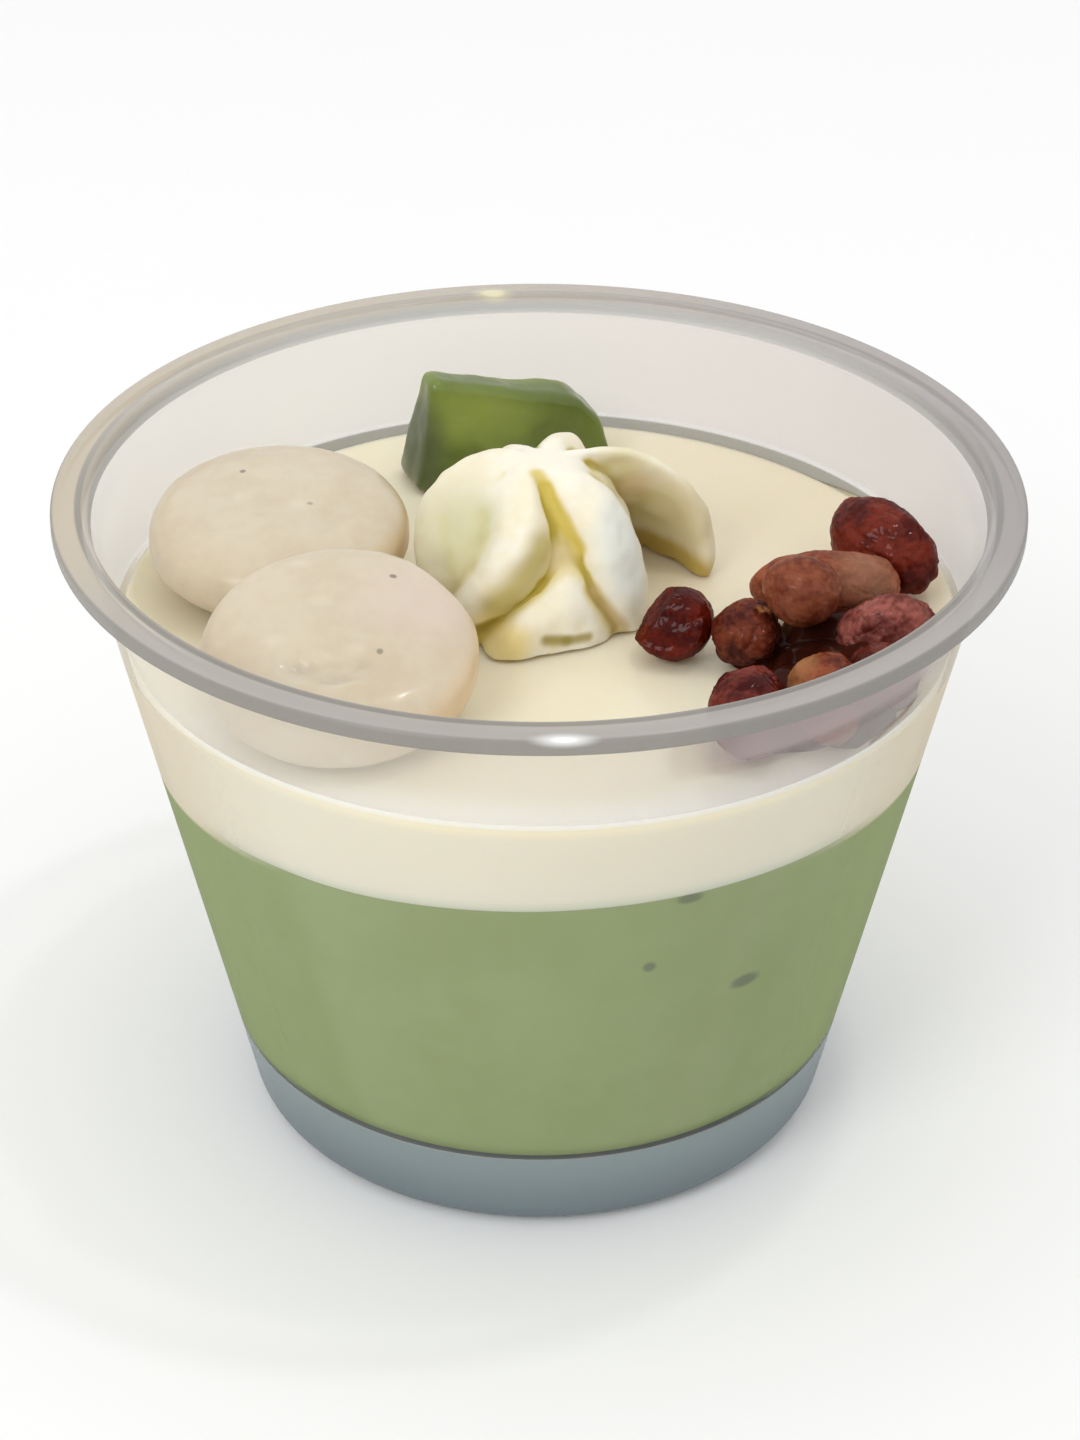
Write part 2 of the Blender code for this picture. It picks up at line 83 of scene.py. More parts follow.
class Desk:
    """Adds nodes to one node tree and wires them."""

    def __init__(self, tree: bpy.types.NodeTree) -> None:
        """Keep the tree that is being written.

        Args:
            tree: The material's or group's node tree.
        """
        self.tree = tree

    def feed(self, socket: bpy.types.NodeSocket, value: Value) -> None:
        """Link a socket to another one, or set its own value.

        Args:
            socket: The input that is fed.
            value: An output socket, a number or a sequence of numbers.
        """
        if isinstance(value, bpy.types.NodeSocket):
            self.tree.links.new(value, socket)
        elif socket.type == "RGBA" and len(value) == 3:
            socket.default_value = (*value, 1.0)
        else:
            socket.default_value = value

    def add(self, kind: str, inputs: Mapping[Union[str, int], Value] = {},
            **settings: object) -> bpy.types.Node:
        """Add one node.

        Args:
            kind: The node's type name.
            inputs: What feeds each input, by name or index.
            **settings: The node's own settings.

        Returns:
            The new node.
        """
        node = self.tree.nodes.new(kind)
        for name, value in settings.items():
            setattr(node, name, value)
        for key, value in inputs.items():
            self.feed(node.inputs[key], value)
        return node

    def place(self) -> bpy.types.NodeSocket:
        """Object coordinates, which are row coordinates on every piece."""
        return self.add("ShaderNodeTexCoord").outputs["Object"]

    def calc(self, operation: str, *values: Value, clamp: bool = False) -> bpy.types.NodeSocket:
        """A Math node's result.

        Args:
            operation: The operation's name.
            *values: Its operands.
            clamp: Whether the result is kept between 0 and 1.

        Returns:
            The output socket.
        """
        node = self.add("ShaderNodeMath", dict(enumerate(values)), operation=operation,
                        use_clamp=clamp)
        return node.outputs[0]

    def vector(self, operation: str, *values: Value,
               output: Union[str, int] = 0) -> bpy.types.NodeSocket:
        """A Vector Math node's result.

        Args:
            operation: The operation's name.
            *values: Its operands.
            output: The output that holds the result.

        Returns:
            The output socket.
        """
        node = self.add("ShaderNodeVectorMath", dict(enumerate(values)), operation=operation)
        return node.outputs[output]

    def times(self, first: Value, *others: Value) -> bpy.types.NodeSocket:
        """The product of several values.

        Args:
            first: The first value.
            *others: What it is multiplied with.

        Returns:
            The output socket.
        """
        for other in others:
            first = self.calc("MULTIPLY", first, other)
        return first

    def axes(self, place: Value) -> Axes:
        """Split a place into its coordinates.

        Args:
            place: The place's socket.

        Returns:
            The three coordinates and the distance from the upright axis.
        """
        parts = self.add("ShaderNodeSeparateXYZ", {0: place}).outputs
        flat = self.add("ShaderNodeCombineXYZ", {0: parts["X"], 1: parts["Y"]}).outputs[0]
        return Axes(parts["X"], parts["Y"], parts["Z"],
                    self.vector("LENGTH", flat, output="Value"))

    def above(self, axes: Axes, level: float, tilt: Point) -> bpy.types.NodeSocket:
        """Height of a place above a tilted plane.

        Args:
            axes: The place.
            level: The plane's height on the axis.
            tilt: Its slopes along X and along Y.

        Returns:
            The output socket.
        """
        lean = self.calc("MULTIPLY_ADD", axes.y, tilt[1], level)
        plane = self.calc("MULTIPLY_ADD", axes.x, tilt[0], lean)
        return self.calc("SUBTRACT", axes.z, plane)

    def spread(self, value: Value, low: Value, high: Value, to_low: float = 0.0,
               to_high: float = 1.0, smooth: bool = True) -> bpy.types.NodeSocket:
        """Map a value from one range to another, with soft ends.

        Args:
            value: The value that is mapped.
            low: Start of its range.
            high: End of its range.
            to_low: Result at the start.
            to_high: Result at the end.
            smooth: Whether the ends are eased.

        Returns:
            The output socket.
        """
        kind = "SMOOTHSTEP" if smooth else "LINEAR"
        node = self.add("ShaderNodeMapRange", {"Value": value, "From Min": low, "From Max": high,
                                               "To Min": to_low, "To Max": to_high},
                        interpolation_type=kind)
        return node.outputs["Result"]

    def blend(self, share: Value, first: Value, second: Value) -> bpy.types.NodeSocket:
        """Mix two colours.

        Args:
            share: Share of the second colour.
            first: The first colour.
            second: The second colour.

        Returns:
            The mixed colour's socket.
        """
        node = self.add("ShaderNodeMix", data_type="RGBA")
        self.feed(node.inputs[0], share)
        self.feed(node.inputs[6], first)
        self.feed(node.inputs[7], second)
        return node.outputs[2]

    def cloud(self, where: Value, scale: Value, detail: float = 3.0,
              roughness: float = 0.5) -> bpy.types.NodeSocket:
        """A noise value.

        Args:
            where: The coordinates it reads.
            scale: Waves per metre.
            detail: Number of finer layers.
            roughness: Weight of the finer layers.

        Returns:
            The noise's socket, around 0.5.
        """
        node = self.add("ShaderNodeTexNoise", {"Vector": where, "Scale": scale,
                                               "Detail": detail, "Roughness": roughness})
        return node.outputs[0]

    def group(self, tree: bpy.types.NodeTree, inputs: Mapping[str, Value]) -> bpy.types.Node:
        """Place a node group.

        Args:
            tree: The group.
            inputs: What feeds its named inputs.

        Returns:
            The group's node.
        """
        node = self.add("ShaderNodeGroup")
        node.node_tree = tree
        for name, value in inputs.items():
            self.feed(node.inputs[name], value)
        return node


class Effect(Enum):
    """The node groups that several finishes share."""

    MOTTLE = "mottle"
    SPOT = "soft_spot"
    STREAK = "soft_streak"
    RELIEF = "moist_relief"


class Effects:
    """Builds each shared node group once and hands it out."""

    MOTTLE_SPAN: Span = (0.36, 0.64)

    def __init__(self) -> None:
        """Build the four groups."""
        self.trees = {Effect.MOTTLE: self._mottle(), Effect.SPOT: self._spot(),
                      Effect.STREAK: self._streak(), Effect.RELIEF: self._relief()}

    @staticmethod
    def _shell(effect: Effect, inputs: Sequence[tuple[str, str, object]],
               outputs: Sequence[tuple[str, str]]) -> tuple[Desk, bpy.types.Node, bpy.types.Node]:
        """Start a group with named sockets.

        Args:
            effect: Which group it is.
            inputs: Name, socket type and starting value of each input.
            outputs: Name and socket type of each output.

        Returns:
            The desk for its tree, its input node and its output node.
        """
        tree = bpy.data.node_groups.new(effect.value, "ShaderNodeTree")
        for name, kind, start in inputs:
            socket = tree.interface.new_socket(name, in_out="INPUT", socket_type=kind)
            socket.default_value = start
        for name, kind in outputs:
            tree.interface.new_socket(name, in_out="OUTPUT", socket_type=kind)
        desk = Desk(tree)
        return desk, desk.add("NodeGroupInput"), desk.add("NodeGroupOutput")

    @staticmethod
    def _faded(desk: Desk, reach: Value, softness: Value) -> bpy.types.NodeSocket:
        """Fade a mark out round its edge.

        Args:
            desk: The desk of the group's tree.
            reach: Distance from the mark's middle, in shares of its size.
            softness: Share of the size over which it fades.

        Returns:
            The mask's socket.
        """
        inner = desk.calc("SUBTRACT", 1.0, softness)
        outer = desk.calc("ADD", 1.0, softness)
        return desk.spread(reach, outer, inner)

    def _mottle(self) -> bpy.types.NodeTree:
        """Patches of two colours in two sizes, as in set or cooked food.

        Returns:
            The group, with the output Colour.
        """
        desk, start, end = self._shell(
            Effect.MOTTLE,
            (("Low", "NodeSocketColor", (0.5, 0.5, 0.5, 1.0)),
             ("High", "NodeSocketColor", (0.6, 0.6, 0.6, 1.0)),
             ("Patch Scale", "NodeSocketFloat", 80.0),
             ("Grain Scale", "NodeSocketFloat", 600.0),
             ("Grain Share", "NodeSocketFloat", 0.3)),
            (("Colour", "NodeSocketColor"),))
        where = desk.place()
        patches = desk.cloud(where, start.outputs["Patch Scale"])
        grain = desk.cloud(where, start.outputs["Grain Scale"], detail=2.0)
        both = desk.add("ShaderNodeMix", data_type="FLOAT")
        desk.feed(both.inputs[0], start.outputs["Grain Share"])
        desk.feed(both.inputs[2], patches)
        desk.feed(both.inputs[3], grain)
        mask = desk.spread(both.outputs[0], *self.MOTTLE_SPAN)
        colour = desk.blend(mask, start.outputs["Low"], start.outputs["High"])
        desk.feed(end.inputs["Colour"], colour)
        return desk.tree

    def _spot(self) -> bpy.types.NodeTree:
        """A soft-edged ellipsoid spot at a place on the piece.

        Returns:
            The group, with the output Mask.
        """
        desk, start, end = self._shell(
            Effect.SPOT,
            (("Centre", "NodeSocketVector", (0.0, 0.0, 0.0)),
             ("Half Size", "NodeSocketVector", (0.001, 0.001, 0.001)),
             ("Softness", "NodeSocketFloat", 0.4)),
            (("Mask", "NodeSocketFloat"),))
        away = desk.vector("SUBTRACT", desk.place(), start.outputs["Centre"])
        scaled = desk.vector("DIVIDE", away, start.outputs["Half Size"])
        reach = desk.vector("LENGTH", scaled, output="Value")
        desk.feed(end.inputs["Mask"], self._faded(desk, reach, start.outputs["Softness"]))
        return desk.tree

    def _streak(self) -> bpy.types.NodeTree:
        """A soft-edged streak along a line on the piece.

        Returns:
            The group, with the output Mask.
        """
        desk, start, end = self._shell(
            Effect.STREAK,
            (("Start", "NodeSocketVector", (0.0, 0.0, 0.0)),
             ("Along", "NodeSocketVector", (0.001, 0.0, 0.0)),
             ("Radius", "NodeSocketFloat", 0.001),
             ("Softness", "NodeSocketFloat", 0.4)),
            (("Mask", "NodeSocketFloat"),))
        away = desk.vector("SUBTRACT", desk.place(), start.outputs["Start"])
        along = start.outputs["Along"]
        covered = desk.vector("DOT_PRODUCT", away, along, output="Value")
        whole = desk.vector("DOT_PRODUCT", along, along, output="Value")
        share = desk.calc("DIVIDE", covered, whole, clamp=True)
        nearest = desk.add("ShaderNodeVectorMath", {0: along, "Scale": share},
                           operation="SCALE").outputs[0]
        gap = desk.vector("DISTANCE", away, nearest, output="Value")
        reach = desk.calc("DIVIDE", gap, start.outputs["Radius"])
        desk.feed(end.inputs["Mask"], self._faded(desk, reach, start.outputs["Softness"]))
        return desk.tree

    def _relief(self) -> bpy.types.NodeTree:
        """Fine unevenness of a moist surface, as a height.

        Returns:
            The group, with the output Height.
        """
        desk, start, end = self._shell(
            Effect.RELIEF,
            (("Wave Scale", "NodeSocketFloat", 250.0),
             ("Grain Scale", "NodeSocketFloat", 1500.0),
             ("Grain Share", "NodeSocketFloat", 0.25)),
            (("Height", "NodeSocketFloat"),))
        where = desk.place()
        waves = desk.cloud(where, start.outputs["Wave Scale"], detail=2.0)
        grain = desk.cloud(where, start.outputs["Grain Scale"], detail=2.0)
        fine = desk.times(grain, start.outputs["Grain Share"])
        desk.feed(end.inputs["Height"], desk.calc("ADD", waves, fine))
        return desk.tree


EFFECTS = Effects()


# ------------------------------------------------------------------------ finishes
@dataclass(frozen=True)
class Spot:
    """A small mark on a surface: where it is, how large and how strong."""

    centre: Place
    half_size: Place
    colour: Colour
    strength: float = 0.8
    softness: float = 0.4

    def mask(self, desk: Desk) -> bpy.types.NodeSocket:
        """Share of the mark at each place.

        Args:
            desk: The desk of the material's tree.

        Returns:
            The mask's socket.
        """
        return desk.group(EFFECTS.trees[Effect.SPOT], {
            "Centre": self.centre, "Half Size": self.half_size,
            "Softness": self.softness}).outputs["Mask"]


@dataclass(frozen=True)
class Streak:
    """A mark along a line on a surface."""

    start: Place
    end: Place
    radius: float
    colour: Colour
    strength: float = 0.8
    softness: float = 0.5

    def mask(self, desk: Desk) -> bpy.types.NodeSocket:
        """Share of the mark at each place.

        Args:
            desk: The desk of the material's tree.

        Returns:
            The mask's socket.
        """
        along = tuple(Vector(self.end) - Vector(self.start))
        return desk.group(EFFECTS.trees[Effect.STREAK], {
            "Start": self.start, "Along": along, "Radius": self.radius,
            "Softness": self.softness}).outputs["Mask"]


Mark = Union[Spot, Streak]


@dataclass(frozen=True)
class Finish:
    """What every finish has: a name, and a way to become a material."""

    name: str

    def material(self) -> bpy.types.Material:
        """Build the material.

        Returns:
            The new material.
        """
        material = bpy.data.materials.new(self.name)
        material.use_nodes = True
        material.node_tree.nodes.clear()
        desk = Desk(material.node_tree)
        end = desk.add("ShaderNodeOutputMaterial")
        desk.feed(end.inputs["Surface"], self.surface(desk))
        return material

    def surface(self, desk: Desk) -> bpy.types.NodeSocket:
        """Write the surface's nodes; each finish has its own.

        Args:
            desk: The desk of the material's tree.

        Returns:
            The shader's socket.
        """
        raise NotImplementedError


@dataclass(frozen=True)
class MoistFood(Finish):
    """A moist, softly see-through food surface with patches, marks and fine relief."""

    low: Colour = (0.5, 0.5, 0.5)
    high: Colour = (0.6, 0.6, 0.6)
    patch_scale: float = 80.0
    grain_scale: float = 700.0
    grain_share: float = 0.3
    roughness: float = 0.4
    specular: float = 0.35
    subsurface: float = 0.3
    depth: Colour = (0.004, 0.003, 0.002)
    coat: float = 0.0
    coat_roughness: float = 0.1
    relief: float = 0.00005
    wave_scale: float = 250.0
    spots: tuple[Mark, ...] = ()

    def colour(self, desk: Desk) -> bpy.types.NodeSocket:
        """The surface's colour, before marks.

        Args:
            desk: The desk of the material's tree.

        Returns:
            The colour's socket.
        """
        mottle = desk.group(EFFECTS.trees[Effect.MOTTLE], {
            "Low": self.low, "High": self.high, "Patch Scale": self.patch_scale,
            "Grain Scale": self.grain_scale, "Grain Share": self.grain_share})
        return mottle.outputs["Colour"]

    def marked(self, desk: Desk, colour: bpy.types.NodeSocket) -> bpy.types.NodeSocket:
        """Lay the marks over a colour.

        Args:
            desk: The desk of the material's tree.
            colour: The colour under the marks.

        Returns:
            The colour's socket.
        """
        for spot in self.spots:
            share = desk.times(spot.mask(desk), spot.strength)
            colour = desk.blend(share, colour, spot.colour)
        return colour

    def height(self, desk: Desk) -> bpy.types.NodeSocket:
        """The height that makes the fine relief.

        Args:
            desk: The desk of the material's tree.

        Returns:
            The height's socket.
        """
        return desk.group(EFFECTS.trees[Effect.RELIEF], {
            "Wave Scale": self.wave_scale}).outputs["Height"]

    def surface(self, desk: Desk) -> bpy.types.NodeSocket:
        """Write the food's shader.

        Args:
            desk: The desk of the material's tree.

        Returns:
            The shader's socket.
        """
        bump = desk.add("ShaderNodeBump", {"Strength": 1.0, "Distance": self.relief,
                                           "Height": self.height(desk)})
        shader = desk.add("ShaderNodeBsdfPrincipled", {
            "Base Color": self.marked(desk, self.colour(desk)),
            "Roughness": self.roughness,
            "Specular IOR Level": self.specular,
            "Subsurface Weight": self.subsurface,
            "Subsurface Radius": self.depth,
            "Subsurface Scale": 1.0,
            "Coat Weight": self.coat,
            "Coat Roughness": self.coat_roughness,
            "Normal": bump.outputs["Normal"]})
        return shader.outputs["BSDF"]


@dataclass(frozen=True)
class LayeredPudding(MoistFood):
    """A pudding tinted where it lies on another, with painted light and shade by the wall.

    It is painted paler along the front wall as painted light, and painted darker in the
    crevice at the back and on its side as painted shade.
    """

    top: float = MILK_LEVEL
    boundary: float = GREEN_LEVEL
    tilt: Point = BOUNDARY_TILT
    tint: Colour = (0.6, 0.65, 0.5)
    tint_rise: Span = (0.0012, -0.0002)
    # painted light: the top is painted paler in a band along the front wall
    painted_front_light: Colour = (0.97, 0.96, 0.88)
    painted_front_light_ring: Span = (0.0347, 0.0402)
    painted_front_light_y: Span = (-0.016, -0.026)
    painted_front_light_depth: Span = (0.0006, 0.0001)
    # painted shade: the dark band in the crevice at the back
    crevice: Colour = (0.20, 0.18, 0.12)
    crevice_shade_ring: Span = (0.0394, 0.0402)
    crevice_shade_back: Span = (0.014, 0.026)
    crevice_depth: Span = (0.0002, 0.0008)
    # painted shade: the side below the top is painted duller and darker
    side: Colour = (0.80, 0.76, 0.62)
    side_shade_depth: Span = (0.0006, 0.0020)

    def colour(self, desk: Desk) -> bpy.types.NodeSocket:
        """The pudding's colour with its tinted foot and its painted light and shade by the wall.

        Args:
            desk: The desk of the material's tree.

        Returns:
            The colour's socket.
        """
        plain = MoistFood.colour(self, desk)
        axes = desk.axes(desk.place())
        below = desk.calc("SUBTRACT", self.top, axes.z)
        # painted light: mask of the paler band along the front wall
        painted_front_light = desk.times(desk.spread(axes.radius, *self.painted_front_light_ring),
                          desk.spread(axes.y, *self.painted_front_light_y),
                          desk.spread(below, *self.painted_front_light_depth))
        # painted shade: mask of the dark band in the crevice at the back
        gap = desk.times(desk.spread(axes.radius, *self.crevice_shade_ring),
                         desk.spread(axes.y, *self.crevice_shade_back),
                         desk.spread(below, *self.crevice_depth))
        lit = desk.blend(gap, desk.blend(painted_front_light, plain, self.painted_front_light), self.crevice)
        # painted shade: the side is painted duller and darker below the top
        side_shaded = desk.blend(desk.spread(below, *self.side_shade_depth), lit, self.side)
        above = desk.above(axes, self.boundary, self.tilt)
        return desk.blend(desk.spread(above, *self.tint_rise), side_shaded, self.tint)


@dataclass(frozen=True)
class MochiDough(MoistFood):
    """Rice dough with an amber glow painted towards its thin edge at the right."""

    centre: Place = (0.0, 0.0, 0.0)
    radius: float = 0.013
    # painted light: amber that stands in for light through the thin edge
    edge: Colour = (0.70, 0.53, 0.32)
    edge_glow_ring: Span = (0.86, 1.04)

    def colour(self, desk: Desk) -> bpy.types.NodeSocket:
        """The dough's colour with its painted amber glow at the edge.

        Args:
            desk: The desk of the material's tree.

        Returns:
            The colour's socket.
        """
        plain = MoistFood.colour(self, desk)
        away = desk.axes(desk.vector("SUBTRACT", desk.place(), self.centre))
        # painted light: the amber glow grows towards the thin edge, on the right side only
        edge = desk.spread(away.radius, *(self.radius * share for share in self.edge_glow_ring))
        side = desk.spread(away.x, 0.0, self.radius)
        return desk.blend(desk.times(edge, side), plain, self.edge)


@dataclass(frozen=True)
class PipedCream(MoistFood):
    """Cream with painted shade, tan and yellow in its hollows, by the piece's own hollow
    attribute.
    """

    shade: Colour = (0.7, 0.66, 0.4)
    shade_span: Span = (0.0, 0.5)
    # painted shade: the deep yellow of the hollows and creases
    hollow: Colour = (0.6, 0.5, 0.15)
    hollow_shade_span: Span = (0.4, 1.0)
    attribute: str = "hollow"

    def colour(self, desk: Desk) -> bpy.types.NodeSocket:
        """The cream's colour with its painted shade in the hollows.

        Args:
            desk: The desk of the material's tree.

        Returns:
            The colour's socket.
        """
        plain = MoistFood.colour(self, desk)
        depth = desk.add("ShaderNodeAttribute", attribute_name=self.attribute).outputs["Fac"]
        shaded = desk.blend(desk.spread(depth, *self.shade_span), plain, self.shade)
        return desk.blend(desk.spread(depth, *self.hollow_shade_span), shaded, self.hollow)


@dataclass(frozen=True)
class WallPlace:
    """Where a place lies on the cup: its axes, and sockets that run from 0 to 1.

    These are: side from left to right, back from front to back, rim inside the flange,
    foot inside the foot, dry above the pudding, and facing from head-on to grazing.
    """

    axes: Axes
    side: Socket
    back: Socket
    rim: Socket
    foot: Socket
    dry: Socket
    facing: Socket


@dataclass(frozen=True)
class ClearPlastic(Finish):
    """Thin clear plastic with a milky haze, dense in the rim; painted blue shade round the foot.
    """

    marks: tuple[Mark, ...] = ()
    side_span: Span = (-0.030, 0.045)
    back_span: Span = (-0.010, 0.045)

    tint: Colour = (0.97, 0.97, 0.965)
    # painted shade: the see-through tint is darker towards the right
    tint_lit_left: Colour = (0.965, 0.955, 0.94)
    tint_shaded_right: Colour = (0.95, 0.93, 0.915)
    tint_span: Span = (-0.005, 0.015)
    roughness: float = 0.15
    ior: float = 1.46
    shine: float = 0.5
    shine_edge: float = 0.12

    # painted shade: the haze is darker towards the right
    haze_lit_left: Colour = (0.90, 0.85, 0.76)
    haze_shaded_right: Colour = (0.64, 0.59, 0.55)
    haze_share: float = 0.23
    wet_share: float = 0.05
    dry_span: Span = (MILK_LEVEL - 0.0003, MILK_LEVEL + 0.0005)
    facing_blend: float = 0.3
    edge_power: float = 5.0
    edge_share: float = 0.12

    # painted shade: the flange is darker towards the right
    rim_lit_left: Colour = (0.62, 0.54, 0.42)
    rim_shaded_right: Colour = (0.40, 0.37, 0.36)
    # painted dark lines round the flange stand in for refraction in the plastic; darker at the
    # front, paler at the back
    rim_refraction_dark: Colour = (0.24, 0.23, 0.21)
    rim_refraction_back: Colour = (0.54, 0.54, 0.53)
    rim_front: Colour = (0.49, 0.465, 0.435)
    rim_front_span: Span = (-0.010, -0.034)
    rim_share: float = 0.72
    rim_share_back: float = 0.52
    rim_span: Span = (0.0665, 0.0668)
    # painted dark line at the flange's outer edge, standing in for refraction
    lip_span: Span = (RIM_RADIUS - 0.0004, RIM_RADIUS - 0.0001)
    lip_share: float = 0.8
    # radius, half width and strength of each painted dark refraction line
    lines: tuple[tuple[float, float, float], ...] = (
        (0.0436, 0.0005, 1.0), (0.0448, 0.0005, 0.8), (0.0442, 0.0010, 0.4))
    line_core: float = 0.4

    # painted shade: the blue-grey foot, with painted contact shadow darker towards the bottom
    foot: Colour = (0.28, 0.335, 0.345)
    foot_shade_low: Colour = (0.19, 0.235, 0.255)
    foot_share: float = 0.80
    foot_span: Span = (FLOOR_TOP + 0.0001, FLOOR_TOP - 0.0003)

    fill_low: Colour = (0.270, 0.324, 0.150)
    fill_high: Colour = (0.66, 0.59, 0.46)
    fill_share: float = 0.9
    fill_rise: Span = (FLOOR_TOP, FLOOR_TOP + 0.0012)
    boundary_span: Span = (-0.0004, 0.0004)
    graze_span: Span = (0.30, 0.60)

    # painted: a mauve-grey veil that stands in for the beans seen blurred through the wall
    veil: Colour = (0.50, 0.425, 0.415)
    veil_share: float = 0.58
    veil_right: Span = (0.010, 0.020)
    veil_front: Span = (-0.010, -0.018)
    veil_rise: Span = (0.0598, 0.0620)

    # painted shade: the dark band on the wall's inner face at the back crevice
    crevice: Colour = (0.28, 0.26, 0.18)
    crevice_shade_share: float = 0.75
    crevice_foot: Span = (0.0524, 0.0532)
    crevice_top: Span = (MILK_LEVEL + 0.0004, MILK_LEVEL)
    crevice_shade_ring: Span = (0.0417, 0.0414)
    crevice_shade_back: Span = (0.008, 0.022)
    cover_span: Span = (0.0, 0.12)

    def where(self, desk: Desk) -> WallPlace:
        """Work out where each place lies on the cup.

        Args:
            desk: The desk of the material's tree.

        Returns:
            The sockets that the other methods read.
        """
        axes = desk.axes(desk.place())
        weight = desk.add("ShaderNodeLayerWeight", {"Blend": self.facing_blend})
        return WallPlace(
            axes,
            side=desk.spread(axes.x, *self.side_span),
            back=desk.spread(axes.y, *self.back_span),
            rim=desk.spread(axes.z, *self.rim_span),
            foot=desk.spread(axes.z, *self.foot_span),
            dry=desk.spread(axes.z, *self.dry_span),
            facing=weight.outputs["Facing"])

    def flange(self, desk: Desk, place: WallPlace) -> tuple[Socket, Socket]:
        """The flange's colour, painted darker to the right, with painted dark refraction lines.

        Args:
            desk: The desk of the material's tree.
            place: Where each place lies on the cup.

        Returns:
            The sockets of its colour and of its share.
        """
        radius = place.axes.radius
        # painted shade: the flange is darker towards the right
        plain = desk.blend(place.side, self.rim_lit_left, self.rim_shaded_right)
        plain = desk.blend(desk.spread(place.axes.y, *self.rim_front_span), plain,
                           self.rim_front)
        # painted dark refraction lines
        dark = desk.spread(radius, *self.lip_span, 0.0, self.lip_share)
        for line, half, most in self.lines:
            off = desk.calc("ABSOLUTE", desk.calc("SUBTRACT", radius, line))
            stroke = desk.spread(off, half, self.line_core * half, 0.0, most)
            dark = desk.calc("MAXIMUM", dark, stroke)
        lines = desk.blend(place.back, self.rim_refraction_dark, self.rim_refraction_back)
        even = desk.spread(place.back, 0.0, 1.0, self.rim_share, self.rim_share_back)
        share = desk.calc("MAXIMUM", desk.times(dark, self.rim_share), even)
        return desk.blend(dark, plain, lines), share

    def milkiness(self, desk: Desk, place: WallPlace) -> tuple[Socket, Socket]:
        """The haze of the wall, the flange and the foot.

        Args:
            desk: The desk of the material's tree.
            place: Where each place lies on the cup.

        Returns:
            The sockets of its colour and of its share.
        """
        flange, flange_share = self.flange(desk, place)
        # painted shade: the haze is darker towards the right
        haze = desk.blend(place.side, self.haze_lit_left, self.haze_shaded_right)
        # painted shade: the blue-grey foot, darker towards the bottom
        foot = desk.blend(desk.spread(place.axes.z, 0.0, FLOOR_TOP), self.foot_shade_low, self.foot)
        colour = desk.blend(place.foot, desk.blend(place.rim, haze, flange), foot)
        thin = desk.spread(place.dry, 0.0, 1.0, self.wet_share, self.haze_share, smooth=False)
        edge = desk.calc("POWER", place.facing, self.edge_power)
        share = desk.calc("MULTIPLY_ADD", edge, self.edge_share, thin)
        share = desk.calc("MAXIMUM", share, desk.times(place.foot, self.foot_share))
        share = desk.calc("MAXIMUM", share, desk.times(place.rim, flange_share))
        return colour, share

    def grazing(self, desk: Desk, place: WallPlace) -> Socket:
        """Where the wall is seen edge-on beside the puddings, from 0 to 1.

        Args:
            desk: The desk of the material's tree.
            place: Where each place lies on the cup.

        Returns:
            The mask's socket.
        """
        wet = desk.calc("SUBTRACT", 1.0, place.dry)
        return desk.times(desk.spread(place.facing, *self.graze_span),
                          desk.spread(place.axes.z, *self.fill_rise), wet)

    def filling(self, desk: Desk, place: WallPlace) -> Socket:
        """The colour of the puddings that an edge-on wall spreads.

        Args:
            desk: The desk of the material's tree.
            place: Where each place lies on the cup.

        Returns:
            The colour's socket.
        """
        above = desk.above(place.axes, GREEN_LEVEL, BOUNDARY_TILT)
        return desk.blend(desk.spread(above, *self.boundary_span), self.fill_low,
                          self.fill_high)

    def veiled(self, desk: Desk, place: WallPlace) -> Socket:
        """Where the wall before the beans gets a painted veil for the beans seen through it, from
        0 to 1.

        Args:
            desk: The desk of the material's tree.
            place: Where each place lies on the cup.

        Returns:
            The mask's socket.
        """
        under_rim = desk.calc("SUBTRACT", desk.spread(place.axes.z, *self.veil_rise),
                              place.rim)
        return desk.times(desk.spread(place.axes.x, *self.veil_right),
                          desk.spread(place.axes.y, *self.veil_front), under_rim)

    def crevice_shading(self, desk: Desk, place: WallPlace) -> Socket:
        """Where the pudding has come away from the wall's inner face and painted shade darkens
        it, from 0 to 1.

        Args:
            desk: The desk of the material's tree.
            place: Where each place lies on the cup.

        Returns:
            The mask's socket.
        """
        axes = place.axes
        return desk.times(desk.spread(axes.z, *self.crevice_foot),
                          desk.spread(axes.z, *self.crevice_top),
                          desk.spread(axes.radius, *self.crevice_shade_ring),
                          desk.spread(axes.y, *self.crevice_shade_back))

    def clear_tint(self, desk: Desk, place: WallPlace) -> Socket:
        """The see-through tint, warmer at the back above the pudding, painted darker to the
        right.

        Args:
            desk: The desk of the material's tree.
            place: Where each place lies on the cup.

        Returns:
            The tint's socket.
        """
        upper = desk.times(place.dry, desk.spread(place.axes.y, *self.tint_span))
        # painted shade: the tint is darker towards the right
        warm_shading = desk.blend(place.side, self.tint_lit_left, self.tint_shaded_right)
        return desk.blend(upper, self.tint, warm_shading)

